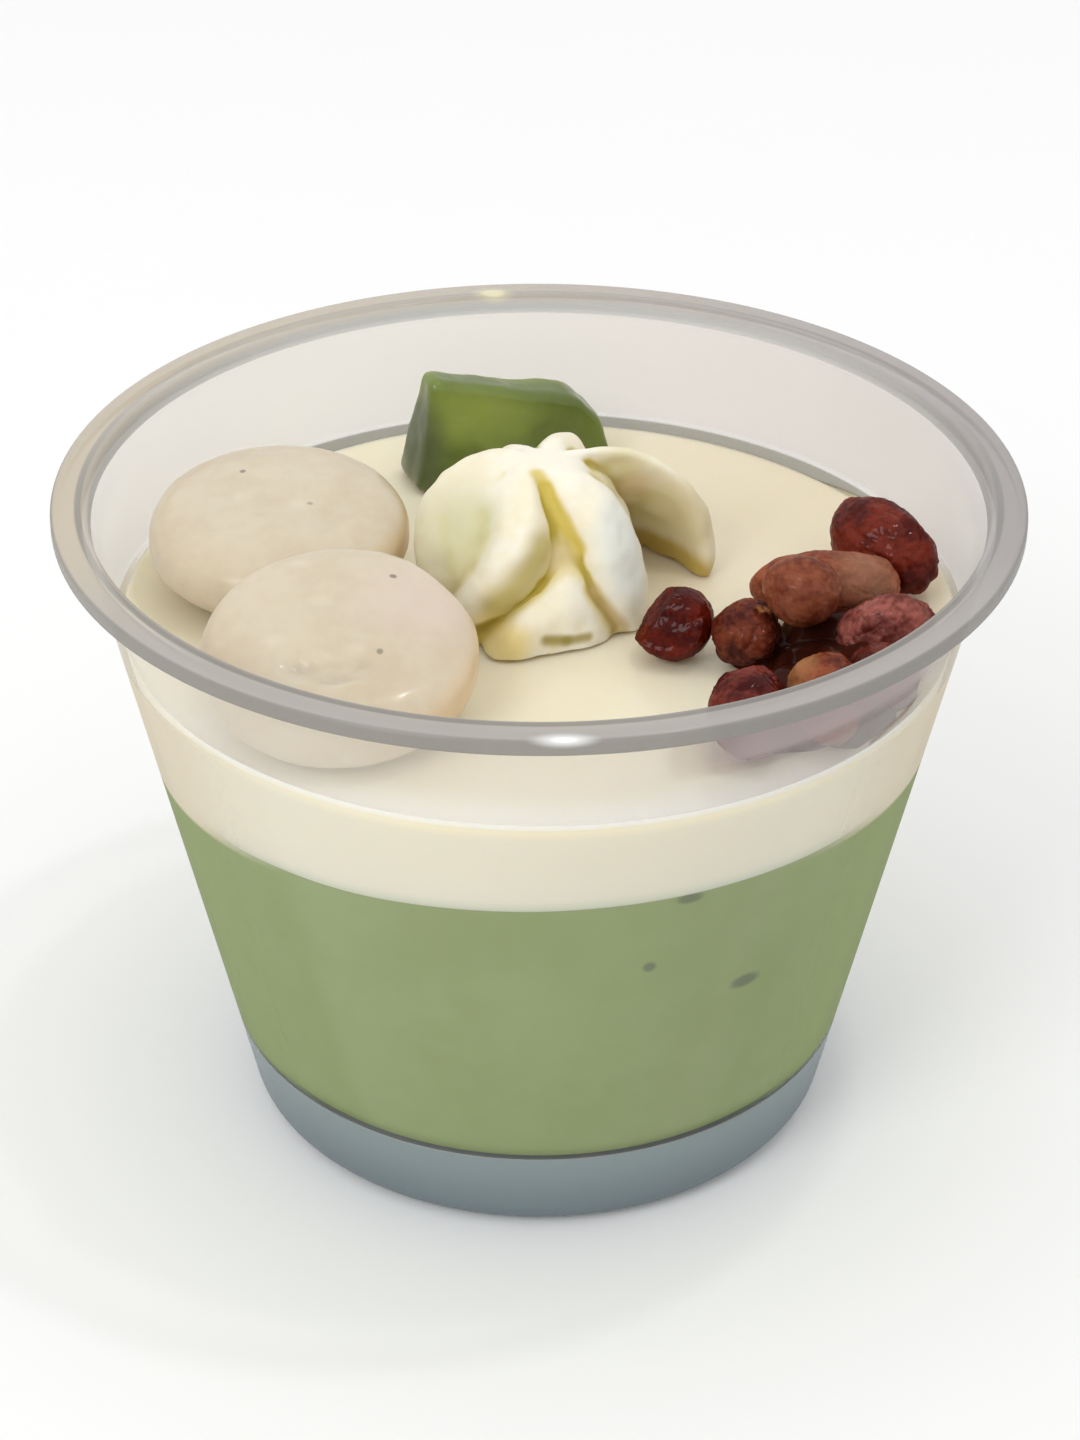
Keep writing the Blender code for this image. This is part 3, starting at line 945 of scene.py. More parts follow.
    def polish(self, desk: Desk, inner: Socket, shine: Value) -> Socket:
        """Lay the plastic's gloss over its other looks.

        Args:
            desk: The desk of the material's tree.
            inner: The shader under the gloss.
            shine: Share of the gloss that is kept.

        Returns:
            The shader's socket.
        """
        inside = desk.add("ShaderNodeNewGeometry").outputs["Backfacing"]
        bend = desk.spread(inside, 0.0, 1.0, self.ior, 1.0 / self.ior, smooth=False)
        mirror = desk.add("ShaderNodeFresnel", {"IOR": bend}).outputs[0]
        gloss = desk.add("ShaderNodeBsdfAnisotropic", {"Roughness": self.roughness})
        return desk.add("ShaderNodeMixShader", {
            0: desk.times(mirror, shine), 1: inner, 2: gloss.outputs[0]}).outputs[0]

    def surface(self, desk: Desk) -> bpy.types.NodeSocket:
        """Write the plastic's shader.

        Args:
            desk: The desk of the material's tree.

        Returns:
            The shader's socket.
        """
        place = self.where(desk)
        body, share = self.milkiness(desk, place)
        graze = self.grazing(desk, place)
        covers = ((graze, self.filling(desk, place), self.fill_share),
                  (self.veiled(desk, place), self.veil, self.veil_share),
                  (self.crevice_shading(desk, place), self.crevice, self.crevice_shade_share))
        for mask, colour, most in covers:
            body = desk.blend(desk.spread(mask, *self.cover_span), body, colour)
            share = desk.calc("MAXIMUM", share, desk.times(mask, most))
        for mark in self.marks:
            mask = mark.mask(desk)
            body = desk.blend(mask, body, mark.colour)
            share = desk.calc("MAXIMUM", share, desk.times(mask, mark.strength))
        clear = desk.add("ShaderNodeBsdfTransparent", {"Color": self.clear_tint(desk, place)})
        milky = desk.add("ShaderNodeBsdfDiffuse", {"Color": body})
        inner = desk.add("ShaderNodeMixShader", {
            0: share, 1: clear.outputs[0], 2: milky.outputs[0]})
        shine = desk.spread(graze, 0.0, 1.0, self.shine, self.shine_edge)
        return self.polish(desk, inner.outputs[0], shine)


@dataclass(frozen=True)
class Paint(Finish):
    """A plain matt surface for the floor."""

    colour: Colour = (0.9, 0.9, 0.9)
    grain_scale: float = 40.0
    grain_roughness: float = 0.55
    grain_share: float = 0.01

    def surface(self, desk: Desk) -> bpy.types.NodeSocket:
        """Write the floor's shader.

        Args:
            desk: The desk of the material's tree.

        Returns:
            The shader's socket.
        """
        grain = desk.cloud(desk.place(), self.grain_scale, roughness=self.grain_roughness)
        darker = tuple((1.0 - self.grain_share) * part for part in self.colour)
        tone = desk.blend(grain, self.colour, darker)
        shader = desk.add("ShaderNodeBsdfPrincipled", {
            "Base Color": tone, "Roughness": 0.9, "Specular IOR Level": 0.1})
        return shader.outputs["BSDF"]


# ---------------------------------------------------------------------- mesh tools
MERGE = 1e-6


def add_piece(name: str, bm: bmesh.types.BMesh, finish: Finish,
              nodes: Sequence[str] = (), sharp: float = 60.0) -> bpy.types.Object:
    """Turn a finished bmesh into a piece that rides on the model.

    Args:
        name: The piece's name.
        bm: Its mesh, in row coordinates; it is freed.
        finish: Its finish.
        nodes: The CAD nodes it stands for.
        sharp: Edges steeper than this, in degrees, stay sharp.

    Returns:
        The piece.
    """
    bmesh.ops.recalc_face_normals(bm, faces=bm.faces)
    mesh = bpy.data.meshes.new(name)
    bm.to_mesh(mesh)
    bm.free()
    piece = bpy.data.objects.new(name, mesh)
    bpy.context.scene.collection.objects.link(piece)
    mesh.materials.append(finish.material())
    mesh.shade_smooth()
    mesh.set_sharp_from_angle(angle=math.radians(sharp))
    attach(piece, BODY)
    if nodes:
        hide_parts(*nodes)
    LOG.info("%s: %d faces, %s", name, len(mesh.polygons), finish.name)
    return piece


def turned(profile: Sequence[Point], steps: int) -> bmesh.types.BMesh:
    """Spin a half section about the Z axis.

    Args:
        profile: Radius and height of each point, in order.
        steps: Number of steps round the axis.

    Returns:
        The closed mesh.
    """
    bm = bmesh.new()
    verts = [bm.verts.new((radius, 0.0, height)) for radius, height in profile]
    edges = [bm.edges.new(pair) for pair in zip(verts, verts[1:])]
    bmesh.ops.spin(bm, geom=verts + edges, cent=(0.0, 0.0, 0.0), axis=(0.0, 0.0, 1.0),
                   angle=math.tau, steps=steps, use_merge=True, use_duplicate=False)
    bmesh.ops.remove_doubles(bm, verts=bm.verts, dist=MERGE)
    bmesh.ops.recalc_face_normals(bm, faces=bm.faces)
    return bm


def arc(centre: Point, radius: float, start: float, end: float, count: int) -> list[Point]:
    """Points of an arc in the (radius, height) plane.

    Args:
        centre: The arc's centre.
        radius: Its radius.
        start: Its first angle, in degrees.
        end: Its last angle, in degrees.
        count: Number of steps.

    Returns:
        The points, ends included.
    """
    angles = [math.radians(start + (end - start) * i / count) for i in range(count + 1)]
    return [(centre[0] + radius * math.cos(angle), centre[1] + radius * math.sin(angle))
            for angle in angles]


def off_line(place: Vector, first: Vector, last: Vector) -> float:
    """Distance of a place from the line between two points.

    Args:
        place: The place.
        first: The line's start.
        last: Its end.

    Returns:
        The distance.
    """
    along = last - first
    share = min(1.0, max(0.0, (place - first).dot(along) / along.length_squared))
    return (place - first - along * share).length


def hermite(t: float, low: float, high: float, start: float, end: float) -> float:
    """Cubic between two values with given slopes at its ends.

    Args:
        t: Share of the way, from 0 to 1.
        low: Value at 0.
        high: Value at 1.
        start: Slope at 0.
        end: Slope at 1.

    Returns:
        The value.
    """
    square, cube = t * t, t * t * t
    return (low * (2.0 * cube - 3.0 * square + 1.0) + start * (cube - 2.0 * square + t)
            + high * (3.0 * square - 2.0 * cube) + end * (cube - square))


def between(value: float, low: float, high: float) -> float:
    """Smooth step from 0 at low to 1 at high."""
    share = min(1.0, max(0.0, (value - low) / (high - low)))
    return share * share * (3.0 - 2.0 * share)


def uneven(place: Vector, *waves: Wave) -> float:
    """Sum of noise waves at a place."""
    return sum(height * noise.noise(place * scale) for scale, height in waves)


def roughen(bm: bmesh.types.BMesh, height: Callable[[Vector, Vector], float]) -> None:
    """Move each vertex along its normal.

    Args:
        bm: The mesh.
        height: The distance moved, from a vertex's place and normal.
    """
    bm.normal_update()
    moves = [vert.normal * height(vert.co, vert.normal) for vert in bm.verts]
    for vert, move in zip(bm.verts, moves):
        vert.co += move


def trimmed(bm: bmesh.types.BMesh, place: Place, outward: Place) -> None:
    """Cut off what lies beyond a plane and close the cut.

    Args:
        bm: The mesh.
        place: A point on the plane.
        outward: The plane's direction, towards what is cut off.
    """
    geometry = bm.verts[:] + bm.edges[:] + bm.faces[:]
    cut = bmesh.ops.bisect_plane(bm, geom=geometry, dist=MERGE, plane_co=place,
                                 plane_no=outward, clear_outer=True)
    edges = [item for item in cut["geom_cut"] if isinstance(item, bmesh.types.BMEdge)]
    bmesh.ops.holes_fill(bm, edges=edges, sides=0)


def fused(bm: bmesh.types.BMesh, voxel: float, rounds: int,
          factor: float = 0.5) -> bmesh.types.BMesh:
    """Fuse overlapping closed shapes into one even skin and soften it.

    Args:
        bm: The shapes; it is freed.
        voxel: Size of the new skin's cells.
        rounds: How many times it is smoothed.
        factor: How far each round goes.

    Returns:
        The fused mesh.
    """
    mesh = bpy.data.meshes.new("fusing")
    bm.to_mesh(mesh)
    bm.free()
    lump = bpy.data.objects.new("fusing", mesh)
    bpy.context.scene.collection.objects.link(lump)
    remesh = lump.modifiers.new("Skin", "REMESH")
    remesh.mode = "VOXEL"
    remesh.voxel_size = voxel
    bpy.context.view_layer.update()
    evaluated = lump.evaluated_get(bpy.context.evaluated_depsgraph_get())
    skin = bmesh.new()
    skin.from_mesh(evaluated.to_mesh())
    evaluated.to_mesh_clear()
    bpy.data.objects.remove(lump, do_unlink=True)
    bpy.data.meshes.remove(mesh)
    for _ in range(rounds):
        bmesh.ops.smooth_vert(skin, verts=skin.verts, factor=factor, use_axis_x=True,
                              use_axis_y=True, use_axis_z=True)
    return skin


# -------------------------------------------------------------------------- the cup
@dataclass(frozen=True)
class CupForm:
    """Sizes of the cup's turned wall, shared by all that fits inside it."""

    height: float = 0.0685
    rim_radius: float = RIM_RADIUS
    lip_height: float = 0.0017
    rim_thickness: float = 0.0007
    rounding: float = 0.0005
    wall_at_table: float = 0.0298
    slope: float = 0.2190
    thickness: float = 0.0008
    floor_top: float = FLOOR_TOP
    floor_thickness: float = 0.0010
    floor_corner: float = 0.0008
    floor_overlap: float = 0.0001
    foot_corner: float = 0.0035
    ring_width: float = 0.0014

    @property
    def tilt(self) -> float:
        """The wall's lean from upright, in radians."""
        return math.atan(self.slope)

    def outer(self, z: float) -> float:
        """Radius of the outer wall at a height."""
        return self.wall_at_table + self.slope * z

    def bore(self, z: float) -> float:
        """Radius of the inner wall at a height."""
        return self.outer(z) - self.thickness / math.cos(self.tilt)

    def corner(self, at_table: float, floor: float, radius: float) -> Point:
        """Centre of the arc between a level floor and the sloping wall.

        Args:
            at_table: The wall's radius at height 0.
            floor: The floor's height.
            radius: The arc's radius.

        Returns:
            The centre's radius and height.
        """
        height = floor + radius
        return (at_table + self.slope * height - radius / math.cos(self.tilt), height)


@dataclass
class Cup:
    """The clear cup: wall, flange with its turned-down lip, raised floor and foot ring."""

    form: CupForm
    finish: ClearPlastic
    steps: int = 192
    wall_stations: tuple[float, ...] = (0.02, 0.03, GREEN_LEVEL, MILK_LEVEL, 0.062)
    lip_corner: float = 0.0001

    def profile(self) -> list[Point]:
        """Half section, from the floor's middle over the rim and round the foot.

        Returns:
            The points.
        """
        form = self.form
        lean = math.degrees(form.tilt)
        top, rounding = form.height, form.rounding
        span = form.thickness / math.cos(form.tilt)
        inner = form.corner(form.wall_at_table - span, form.floor_top, form.floor_corner)
        points = [(form.bore(form.floor_top) * share, form.floor_top) for share in (0.0, 0.5)]
        points += arc(inner, form.floor_corner, -90, -lean, 6)
        points += [(form.bore(z), z) for z in self.wall_stations]
        points += arc((form.bore(top) + rounding, top - rounding), rounding, 180 - lean, 90, 6)
        points += arc((form.rim_radius - rounding, top - rounding), rounding, 90, 0, 6)
        lip = top - form.lip_height
        lip_inner = form.rim_radius - form.rim_thickness
        half = 0.5 * form.rim_thickness
        points += arc((form.rim_radius - half, lip + half), half, 0, -180, 8)
        under = top - form.rim_thickness
        points += [(lip_inner, under - self.lip_corner), (lip_inner - self.lip_corner, under)]
        points += arc((form.outer(under) + rounding, under - rounding), rounding, 90,
                      180 - lean, 5)
        points += [(form.outer(z), z) for z in reversed(self.wall_stations)]
        foot = form.corner(form.wall_at_table, 0.0, form.foot_corner)
        points += arc(foot, form.foot_corner, -lean, -90, 12)
        points += [(foot[0] - form.ring_width, 0.0), (foot[0] - form.ring_width, form.thickness)]
        points += arc(foot, form.foot_corner - form.thickness, -90, -lean, 8)
        underside = form.floor_top - form.floor_thickness
        points += [(form.bore(underside), underside), (0.0, underside)]
        return points

    def build(self) -> None:
        """Make the cup's piece."""
        add_piece("cup_shell", turned(self.profile(), self.steps), self.finish,
                  ["cup"], sharp=50.0)


# --------------------------------------------------------------------- the puddings
@dataclass
class PuddingLayer:
    """One set layer that fills the cup and reaches just into its wall.

    Its mesh is closely spaced near the wall, where the top rises or falls.
    """

    name: str
    node: str
    slot: str
    form: CupForm
    finish: MoistFood
    lower: Callable[[float, float], float]
    upper: Callable[[float, float], float]
    reach: float = 0.00012
    steps: int = 180
    edge: Callable[[float, float], float] = lambda away, bearing: 0.0
    rings: int = 24
    open_rings: int = 22
    near_wall: tuple[float, ...] = (0.895, 0.915, 0.935, 0.95, 0.962, 0.972, 0.98, 0.987,
                                    0.993, 0.997, 1.0)
    side_rings: int = 12
    underside: tuple[float, ...] = (0.98, 0.9, 0.6, 0.0)
    top_level: float = 0.999
    settling: int = 3

    def profile(self) -> list[Point]:
        """Half section in shares of the radius and of the height.

        Returns:
            The points, from the top's middle to the bottom's middle.
        """
        shares = [i / self.rings for i in range(self.open_rings)] + [*self.near_wall]
        points = [(share, 1.0) for share in shares]
        points += [(1.0, 1.0 - i / self.side_rings) for i in range(1, self.side_rings + 1)]
        points += [(share, 0.0) for share in self.underside]
        return points

    def build(self) -> None:
        """Make the layer's piece."""
        bm = turned(self.profile(), self.steps)
        for vert in bm.verts:
            share, level = math.hypot(vert.co.x, vert.co.y), vert.co.z
            bearing = math.atan2(vert.co.y, vert.co.x)
            across, along = math.cos(bearing), math.sin(bearing)
            z = self.upper(0.0, 0.0) * level + self.lower(0.0, 0.0) * (1.0 - level)
            for _ in range(self.settling):
                radius = share * (self.form.bore(z) + self.reach)
                x, y = radius * across, radius * along
                z = self.upper(x, y) * level + self.lower(x, y) * (1.0 - level)
            if level > self.top_level:
                z += self.edge(self.form.bore(z) + self.reach - radius, bearing)
            vert.co = (x, y, z)
        add_piece(self.name, bm, self.finish, [self.node], sharp=50.0)


# --------------------------------------------------------------------- the toppings
@dataclass
class MochiDisc:
    """A flattened ball of rice dough, dented on top and pressed in at its side.

    A dent has a place, half sizes and a depth; a press has a bearing and a limit.
    """

    name: str
    node: str
    radius: float
    thickness: float
    centre: Place
    turn: Place
    finish: MoistFood
    dents: tuple[tuple[Point, Point, float], ...] = ()
    presses: tuple[Point, ...] = ()
    press_share: float = 0.8
    roundness: float = 2.6
    lump: float = 0.00022
    lump_scale: float = 170.0
    lump_shift: float = 40.0
    floor: float = 0.05585

    def build(self) -> None:
        """Make the disc's piece."""
        bm = bmesh.new()
        bmesh.ops.create_uvsphere(bm, u_segments=128, v_segments=64, radius=1.0)
        power = 2.0 / self.roundness
        for vert in bm.verts:
            flat = math.hypot(vert.co.x, vert.co.y)
            scale = self.radius * flat ** power / max(flat, 1e-9)
            up = math.copysign(abs(vert.co.z) ** power, vert.co.z)
            x, y = vert.co.x * scale, vert.co.y * scale
            z = 0.5 * self.thickness * up
            if up > 0.0:
                z -= sum(depth * math.exp(-((x - at[0]) / size[0]) ** 2
                                          - ((y - at[1]) / size[1]) ** 2)
                         for at, size, depth in self.dents)
            for bearing, limit in self.presses:
                along = Vector((math.cos(math.radians(bearing)),
                                math.sin(math.radians(bearing))))
                over = max(0.0, x * along.x + y * along.y - limit)
                x -= self.press_share * over * along.x
                y -= self.press_share * over * along.y
            vert.co = (x, y, z)
        bmesh.ops.remove_doubles(bm, verts=bm.verts, dist=MERGE)
        bmesh.ops.recalc_face_normals(bm, faces=bm.faces)
        seed = Vector(self.centre) * self.lump_shift
        roughen(bm, lambda co, normal: -self.lump * abs(
            noise.noise(co * self.lump_scale + seed)))
        turn = Euler([math.radians(angle) for angle in self.turn]).to_matrix().to_4x4()
        bm.transform(Matrix.Translation(self.centre) @ turn)
        for vert in bm.verts:
            vert.co.z = max(vert.co.z, self.floor)
        add_piece(self.name, bm, self.finish, [self.node])


@dataclass(frozen=True)
class Fold:
    """A line along a crest or a crease of the piped mass, seen from its heart.

    Each station gives the line's angle from straight up and its bearing, in degrees,
    and its distance from the heart. The slope is how steeply the surface meets the
    line: none on a crest, and the more the sharper a crease is.
    """

    slope: float
    stations: tuple[tuple[float, float, float], ...]

    def at(self, tilt: float) -> Point:
        """Bearing and reach of the line at an angle from straight up.

        Args:
            tilt: The angle, in degrees.

        Returns:
            The bearing in degrees and the reach in metres.
        """
        stations = self.stations
        if tilt <= stations[0][0]:
            return stations[0][1], stations[0][2]
        for index in range(len(stations) - 1):
            low, high = stations[index], stations[index + 1]
            if tilt > high[0]:
                continue
            before = stations[max(0, index - 1)]
            after = stations[min(len(stations) - 1, index + 2)]
            span = high[0] - low[0]
            t = (tilt - low[0]) / span
            values = []
            for axis in (1, 2):
                start = (high[axis] - before[axis]) / (high[0] - before[0]) * span
                end = (after[axis] - low[axis]) / (after[0] - low[0]) * span
                values.append(hermite(t, low[axis], high[axis], start, end))
            return values[0], values[1]
        return stations[-1][1], stations[-1][2]


@dataclass(frozen=True)
class Fan:
    """A piped blade from a crest's curve down to the curve where it stands.

    Its ends round off over a share of the crest, and its half width points along a
    direction that turns from the start's to the end's.
    """

    crest: tuple[Place, Place, Place, Place]
    foot: tuple[Place, Place, Place, Place]
    width: float
    end_rounding: float = 0.20
    start_rounding: float = 0.08
    squareness: float = 0.7
    side_start: float = 0.2
    side_turn: float = 0.8

    @staticmethod
    def along(curve: tuple[Place, Place, Place, Place], t: float) -> Vector:
        """Point on a curve with four control points.

        Args:
            curve: The control points.
            t: Share of the way, from 0 at its start to 1 at its end.

        Returns:
            The point.
        """
        first, second, third, last = (Vector(point) for point in curve)
        back = 1.0 - t
        return (first * back ** 3 + second * (3.0 * back * back * t)
                + third * (3.0 * back * t * t) + last * t ** 3)

    def fullness(self, t: float) -> float:
        """How much of the half width is left at a place along the crest.

        Args:
            t: Share of the way along the crest.

        Returns:
            The share, less towards both ends.
        """
        full = math.sqrt(1.0 - (1.0 - min(1.0, (1.0 - t) / self.end_rounding)) ** 2)
        full *= math.sqrt(1.0 - (1.0 - min(1.0, t / self.start_rounding)) ** 2)
        return full


@dataclass
class Rosette:
    """The piped rosette: folds that swirl down from a peak, and a fan at the right."""

    finish: PipedCream
    base: float = 0.0558
    sunk_base: float = 0.0006
    trim: float = 0.00005
    heart: Place = (0.0006, 0.0004, 0.0600)
    peak: float = 0.01105
    calm: Span = (3.0, 20.0)
    crease_slope: float = 1.8
    foot_tilt: float = 107.0
    voxel: float = 0.00024
    smoothing: int = 6
    lumps: tuple[Wave, ...] = ((900.0, 0.00005), (430.0, 0.00020), (220.0, 0.00028))
    slit: tuple[Place, Place] = ((0.0006, -0.0115, 0.0576), (0.0050, -0.0099, 0.0569))
    slit_depth: float = 0.00012
    slit_width: float = 0.0004
    valley_turns: tuple[float, ...] = (-26.0, -13.0, 13.0, 26.0)
    valley_depth: Span = (0.0001, 0.0013)
    valley_share: float = 0.42
    hollow_depth: Span = (0.0, 0.00042)
    hollow_rounds: int = 90
    hollow_factor: float = 0.9
    folds: tuple[Fold, ...] = (
        Fold(0.0, ((12, 150, 0.0114), (38, 146, 0.0125), (47, 157, 0.0130), (54, 168, 0.0133),
                   (61, 178, 0.0136), (71, 188, 0.0136), (82, 197, 0.0133),
                   (94, 206, 0.0130), (107, 211, 0.0128))),
        Fold(0.0, ((12, 190, 0.0113), (28, 207, 0.0106), (42, 216, 0.0103), (56, 221, 0.0103),
                   (68, 222, 0.0105), (81, 221, 0.0109), (94, 218, 0.0117),
                   (107, 217, 0.0124))),
        Fold(0.0, ((12, 232, 0.0114), (21, 247, 0.0116), (35, 257, 0.0117), (48, 257, 0.0118),
                   (60, 252, 0.0119), (73, 243, 0.0121), (86, 233, 0.0126),
                   (96, 226, 0.0130), (107, 222, 0.0130))),
        Fold(1.0, ((12, 255, 0.0110), (21, 262, 0.0102), (34, 271, 0.0092), (49, 274, 0.0085),
                   (62, 275, 0.0082), (78, 269, 0.0082), (90, 256, 0.0090),
                   (101, 243, 0.0105), (107, 236, 0.0120))),
        Fold(0.0, ((12, 262, 0.0109), (21, 267, 0.0100), (34, 274, 0.0091), (49, 277, 0.0084),
                   (62, 278, 0.0083), (72, 275, 0.0085), (81, 268, 0.0095),
                   (91, 260, 0.0112), (99, 254, 0.0129), (107, 250, 0.0142))),
        Fold(0.0, ((12, 269, 0.0109), (22, 272, 0.0098), (37, 280, 0.0089), (53, 283, 0.0084),
                   (69, 282, 0.0086), (79, 280, 0.0099), (88, 279, 0.0110),
                   (99, 279, 0.0115), (107, 279, 0.0119))),
        Fold(1.2, ((12, 276, 0.0109), (22, 279, 0.0097), (38, 289, 0.0088), (54, 296, 0.0085),
                   (71, 298, 0.0085), (85, 300, 0.0087), (99, 307, 0.0097),
                   (107, 312, 0.0106))),
        Fold(0.0, ((12, 300, 0.0114), (19, 313, 0.0114), (34, 321, 0.0113), (49, 320, 0.0110),
                   (64, 316, 0.0108), (81, 316, 0.0108), (95, 319, 0.0113),
                   (107, 324, 0.0120))),
        Fold(0.6, ((12, 350, 0.0112), (34, 372, 0.0096), (58, 376, 0.0087), (80, 372, 0.0086),
                   (107, 366, 0.0098))),
        Fold(0.0, ((12, 385, 0.0112), (30, 390, 0.0103), (50, 392, 0.0100), (80, 392, 0.0099),
                   (107, 394, 0.0101))),
        Fold(0.6, ((12, 415, 0.0110), (30, 414, 0.0104), (60, 412, 0.0102),
                   (107, 408, 0.0100))),
        Fold(0.0, ((12, 440, 0.0114), (26, 437, 0.0124), (41, 434, 0.0131), (60, 430, 0.0124),
                   (107, 424, 0.0124))),
        Fold(0.7, ((12, 462, 0.0110), (30, 460, 0.0106), (50, 454, 0.0104),
                   (107, 450, 0.0104))),
        Fold(0.0, ((12, 482, 0.0113), (30, 480, 0.0116), (50, 476, 0.0122), (80, 474, 0.0124),
                   (107, 470, 0.0124))),
        Fold(0.7, ((12, 497, 0.0111), (30, 491, 0.0110), (47, 494, 0.0109), (61, 506, 0.0108),
                   (80, 518, 0.0108), (107, 530, 0.0112))))
    fan: Fan = Fan(((0.0015, 0.0015, 0.0709), (0.0090, 0.0065, 0.0708),
                    (0.0186, 0.0080, 0.0670), (0.0172, 0.0042, 0.0560)),
                   ((0.0050, 0.0135, 0.0548), (0.0095, 0.0157, 0.0548),
                    (0.0130, 0.0100, 0.0548), (0.0166, 0.0056, 0.0548)), width=0.0016)

    def reach(self, tilt: float, bearing: float) -> float:
        """Distance of the surface from the heart in a direction.

        Args:
            tilt: Angle from straight up, in degrees.
            bearing: Direction round the axis, in degrees.

        Returns:
            The distance.
        """
        lines = [(*fold.at(tilt), fold.slope) for fold in self.folds]
        first = lines[0]
        lines.append((first[0] + 360.0, first[1], first[2]))
        turned_to = (bearing - first[0]) % 360.0 + first[0]
        far = first[1]
        for low, high in zip(lines, lines[1:]):
            if low[0] <= turned_to <= high[0]:
                t = (turned_to - low[0]) / (high[0] - low[0])
                change = high[1] - low[1]
                far = hermite(t, low[1], high[1], change * self.crease_slope * low[2],
                              change * self.crease_slope * high[2])
        return self.peak + (far - self.peak) * between(tilt, *self.calm)

    def add_folds(self, bm: bmesh.types.BMesh) -> None:
        """Shape a sphere into the folded mass, flat where it lies on the pudding.

        Args:
            bm: The mesh it is added to.
        """
        made = bmesh.ops.create_uvsphere(bm, u_segments=288, v_segments=144, radius=1.0)
        for vert in made["verts"]:
            tilt = math.degrees(math.acos(max(-1.0, min(1.0, vert.co.z))))
            bearing = math.degrees(math.atan2(vert.co.y, vert.co.x))
            upper = min(tilt, self.foot_tilt)
            reach = self.reach(upper, bearing)
            inward = min(1.0, (180.0 - tilt) / (180.0 - self.foot_tilt))
            across = reach * math.sin(math.radians(upper)) * inward
            height = reach * math.cos(math.radians(upper)) + self.heart[2]
            if tilt > self.foot_tilt:
                height = self.base - self.sunk_base
            angle = math.radians(bearing)
            vert.co = (self.heart[0] + across * math.cos(angle),
                       self.heart[1] + across * math.sin(angle), height)

    def add_fan(self, bm: bmesh.types.BMesh) -> None:
        """Bend a sphere into the blade that stands under the fan's crest.

        Args:
            bm: The mesh it is added to.
        """
        fan = self.fan
        made = bmesh.ops.create_uvsphere(bm, u_segments=64, v_segments=96, radius=1.0)
        for vert in made["verts"]:
            t = 0.5 + math.asin(max(-1.0, min(1.0, vert.co.z))) / math.pi
            angle = math.atan2(vert.co.y, vert.co.x) + math.pi
            drop = 0.5 * (1.0 - math.cos(angle))
            sine = math.sin(angle)
            across = (math.copysign(abs(sine) ** fan.squareness, sine) * fan.width
                      * fan.fullness(t))
            side = Vector((fan.side_start - fan.side_turn * t, -1.0, 0.0)).normalized()
            crest = fan.along(fan.crest, t)
            foot = fan.along(fan.foot, t)
            vert.co = crest + (foot - crest) * drop + side * across

    def build(self) -> None:
        """Make the rosette's piece."""
        bm = bmesh.new()
        self.add_folds(bm)
        self.add_fan(bm)
        bm = fused(bm, self.voxel, self.smoothing)
        trimmed(bm, (0.0, 0.0, self.base + self.trim), (0.0, 0.0, -1.0))
        first, last = (Vector(point) for point in self.slit)
        roughen(bm, lambda co, normal: uneven(co, *self.lumps) - self.slit_depth * math.exp(
            -(off_line(co, first, last) / self.slit_width) ** 2))
        # the hollow attribute sets where the cream's finish paints shade
        hollows = self.hollows(bm)
        piece = add_piece("cream_swirl", bm, self.finish, ["cream_rosette"])
        attribute = piece.data.attributes.new(self.finish.attribute, "FLOAT", "POINT")
        attribute.data.foreach_set("value", hollows)

    def sunk(self, place: Vector) -> float:
        """How far a place lies in a broad valley between folds.

        Args:
            place: The place, on the rosette's surface.

        Returns:
            A share from 0 to 1.
        """
        away = place - Vector(self.heart)
        far = away.length
        tilt = min(self.foot_tilt, math.degrees(math.acos(away.z / far)))
        bearing = math.degrees(math.atan2(away.y, away.x))
        around = [self.reach(tilt, bearing + turn) for turn in self.valley_turns]
        return between(sum(around) / len(around) - far, *self.valley_depth)

    def hollows(self, bm: bmesh.types.BMesh) -> list[float]:
        """How deep each vertex lies in a hollow, from 0 to 1.

        Args:
            bm: The fused mesh, which a smoothed copy is compared with.

        Returns:
            One value for each vertex.
        """
        bm.normal_update()
        soft = bm.copy()
        for _ in range(self.hollow_rounds):
            bmesh.ops.smooth_vert(soft, verts=soft.verts, factor=self.hollow_factor,
                                  use_axis_x=True, use_axis_y=True, use_axis_z=True)
        values = [min(1.0, between((even.co - vert.co).dot(vert.normal), *self.hollow_depth)
                      + self.valley_share * self.sunk(vert.co))
                  for even, vert in zip(soft.verts, bm.verts)]
        soft.free()
        return values


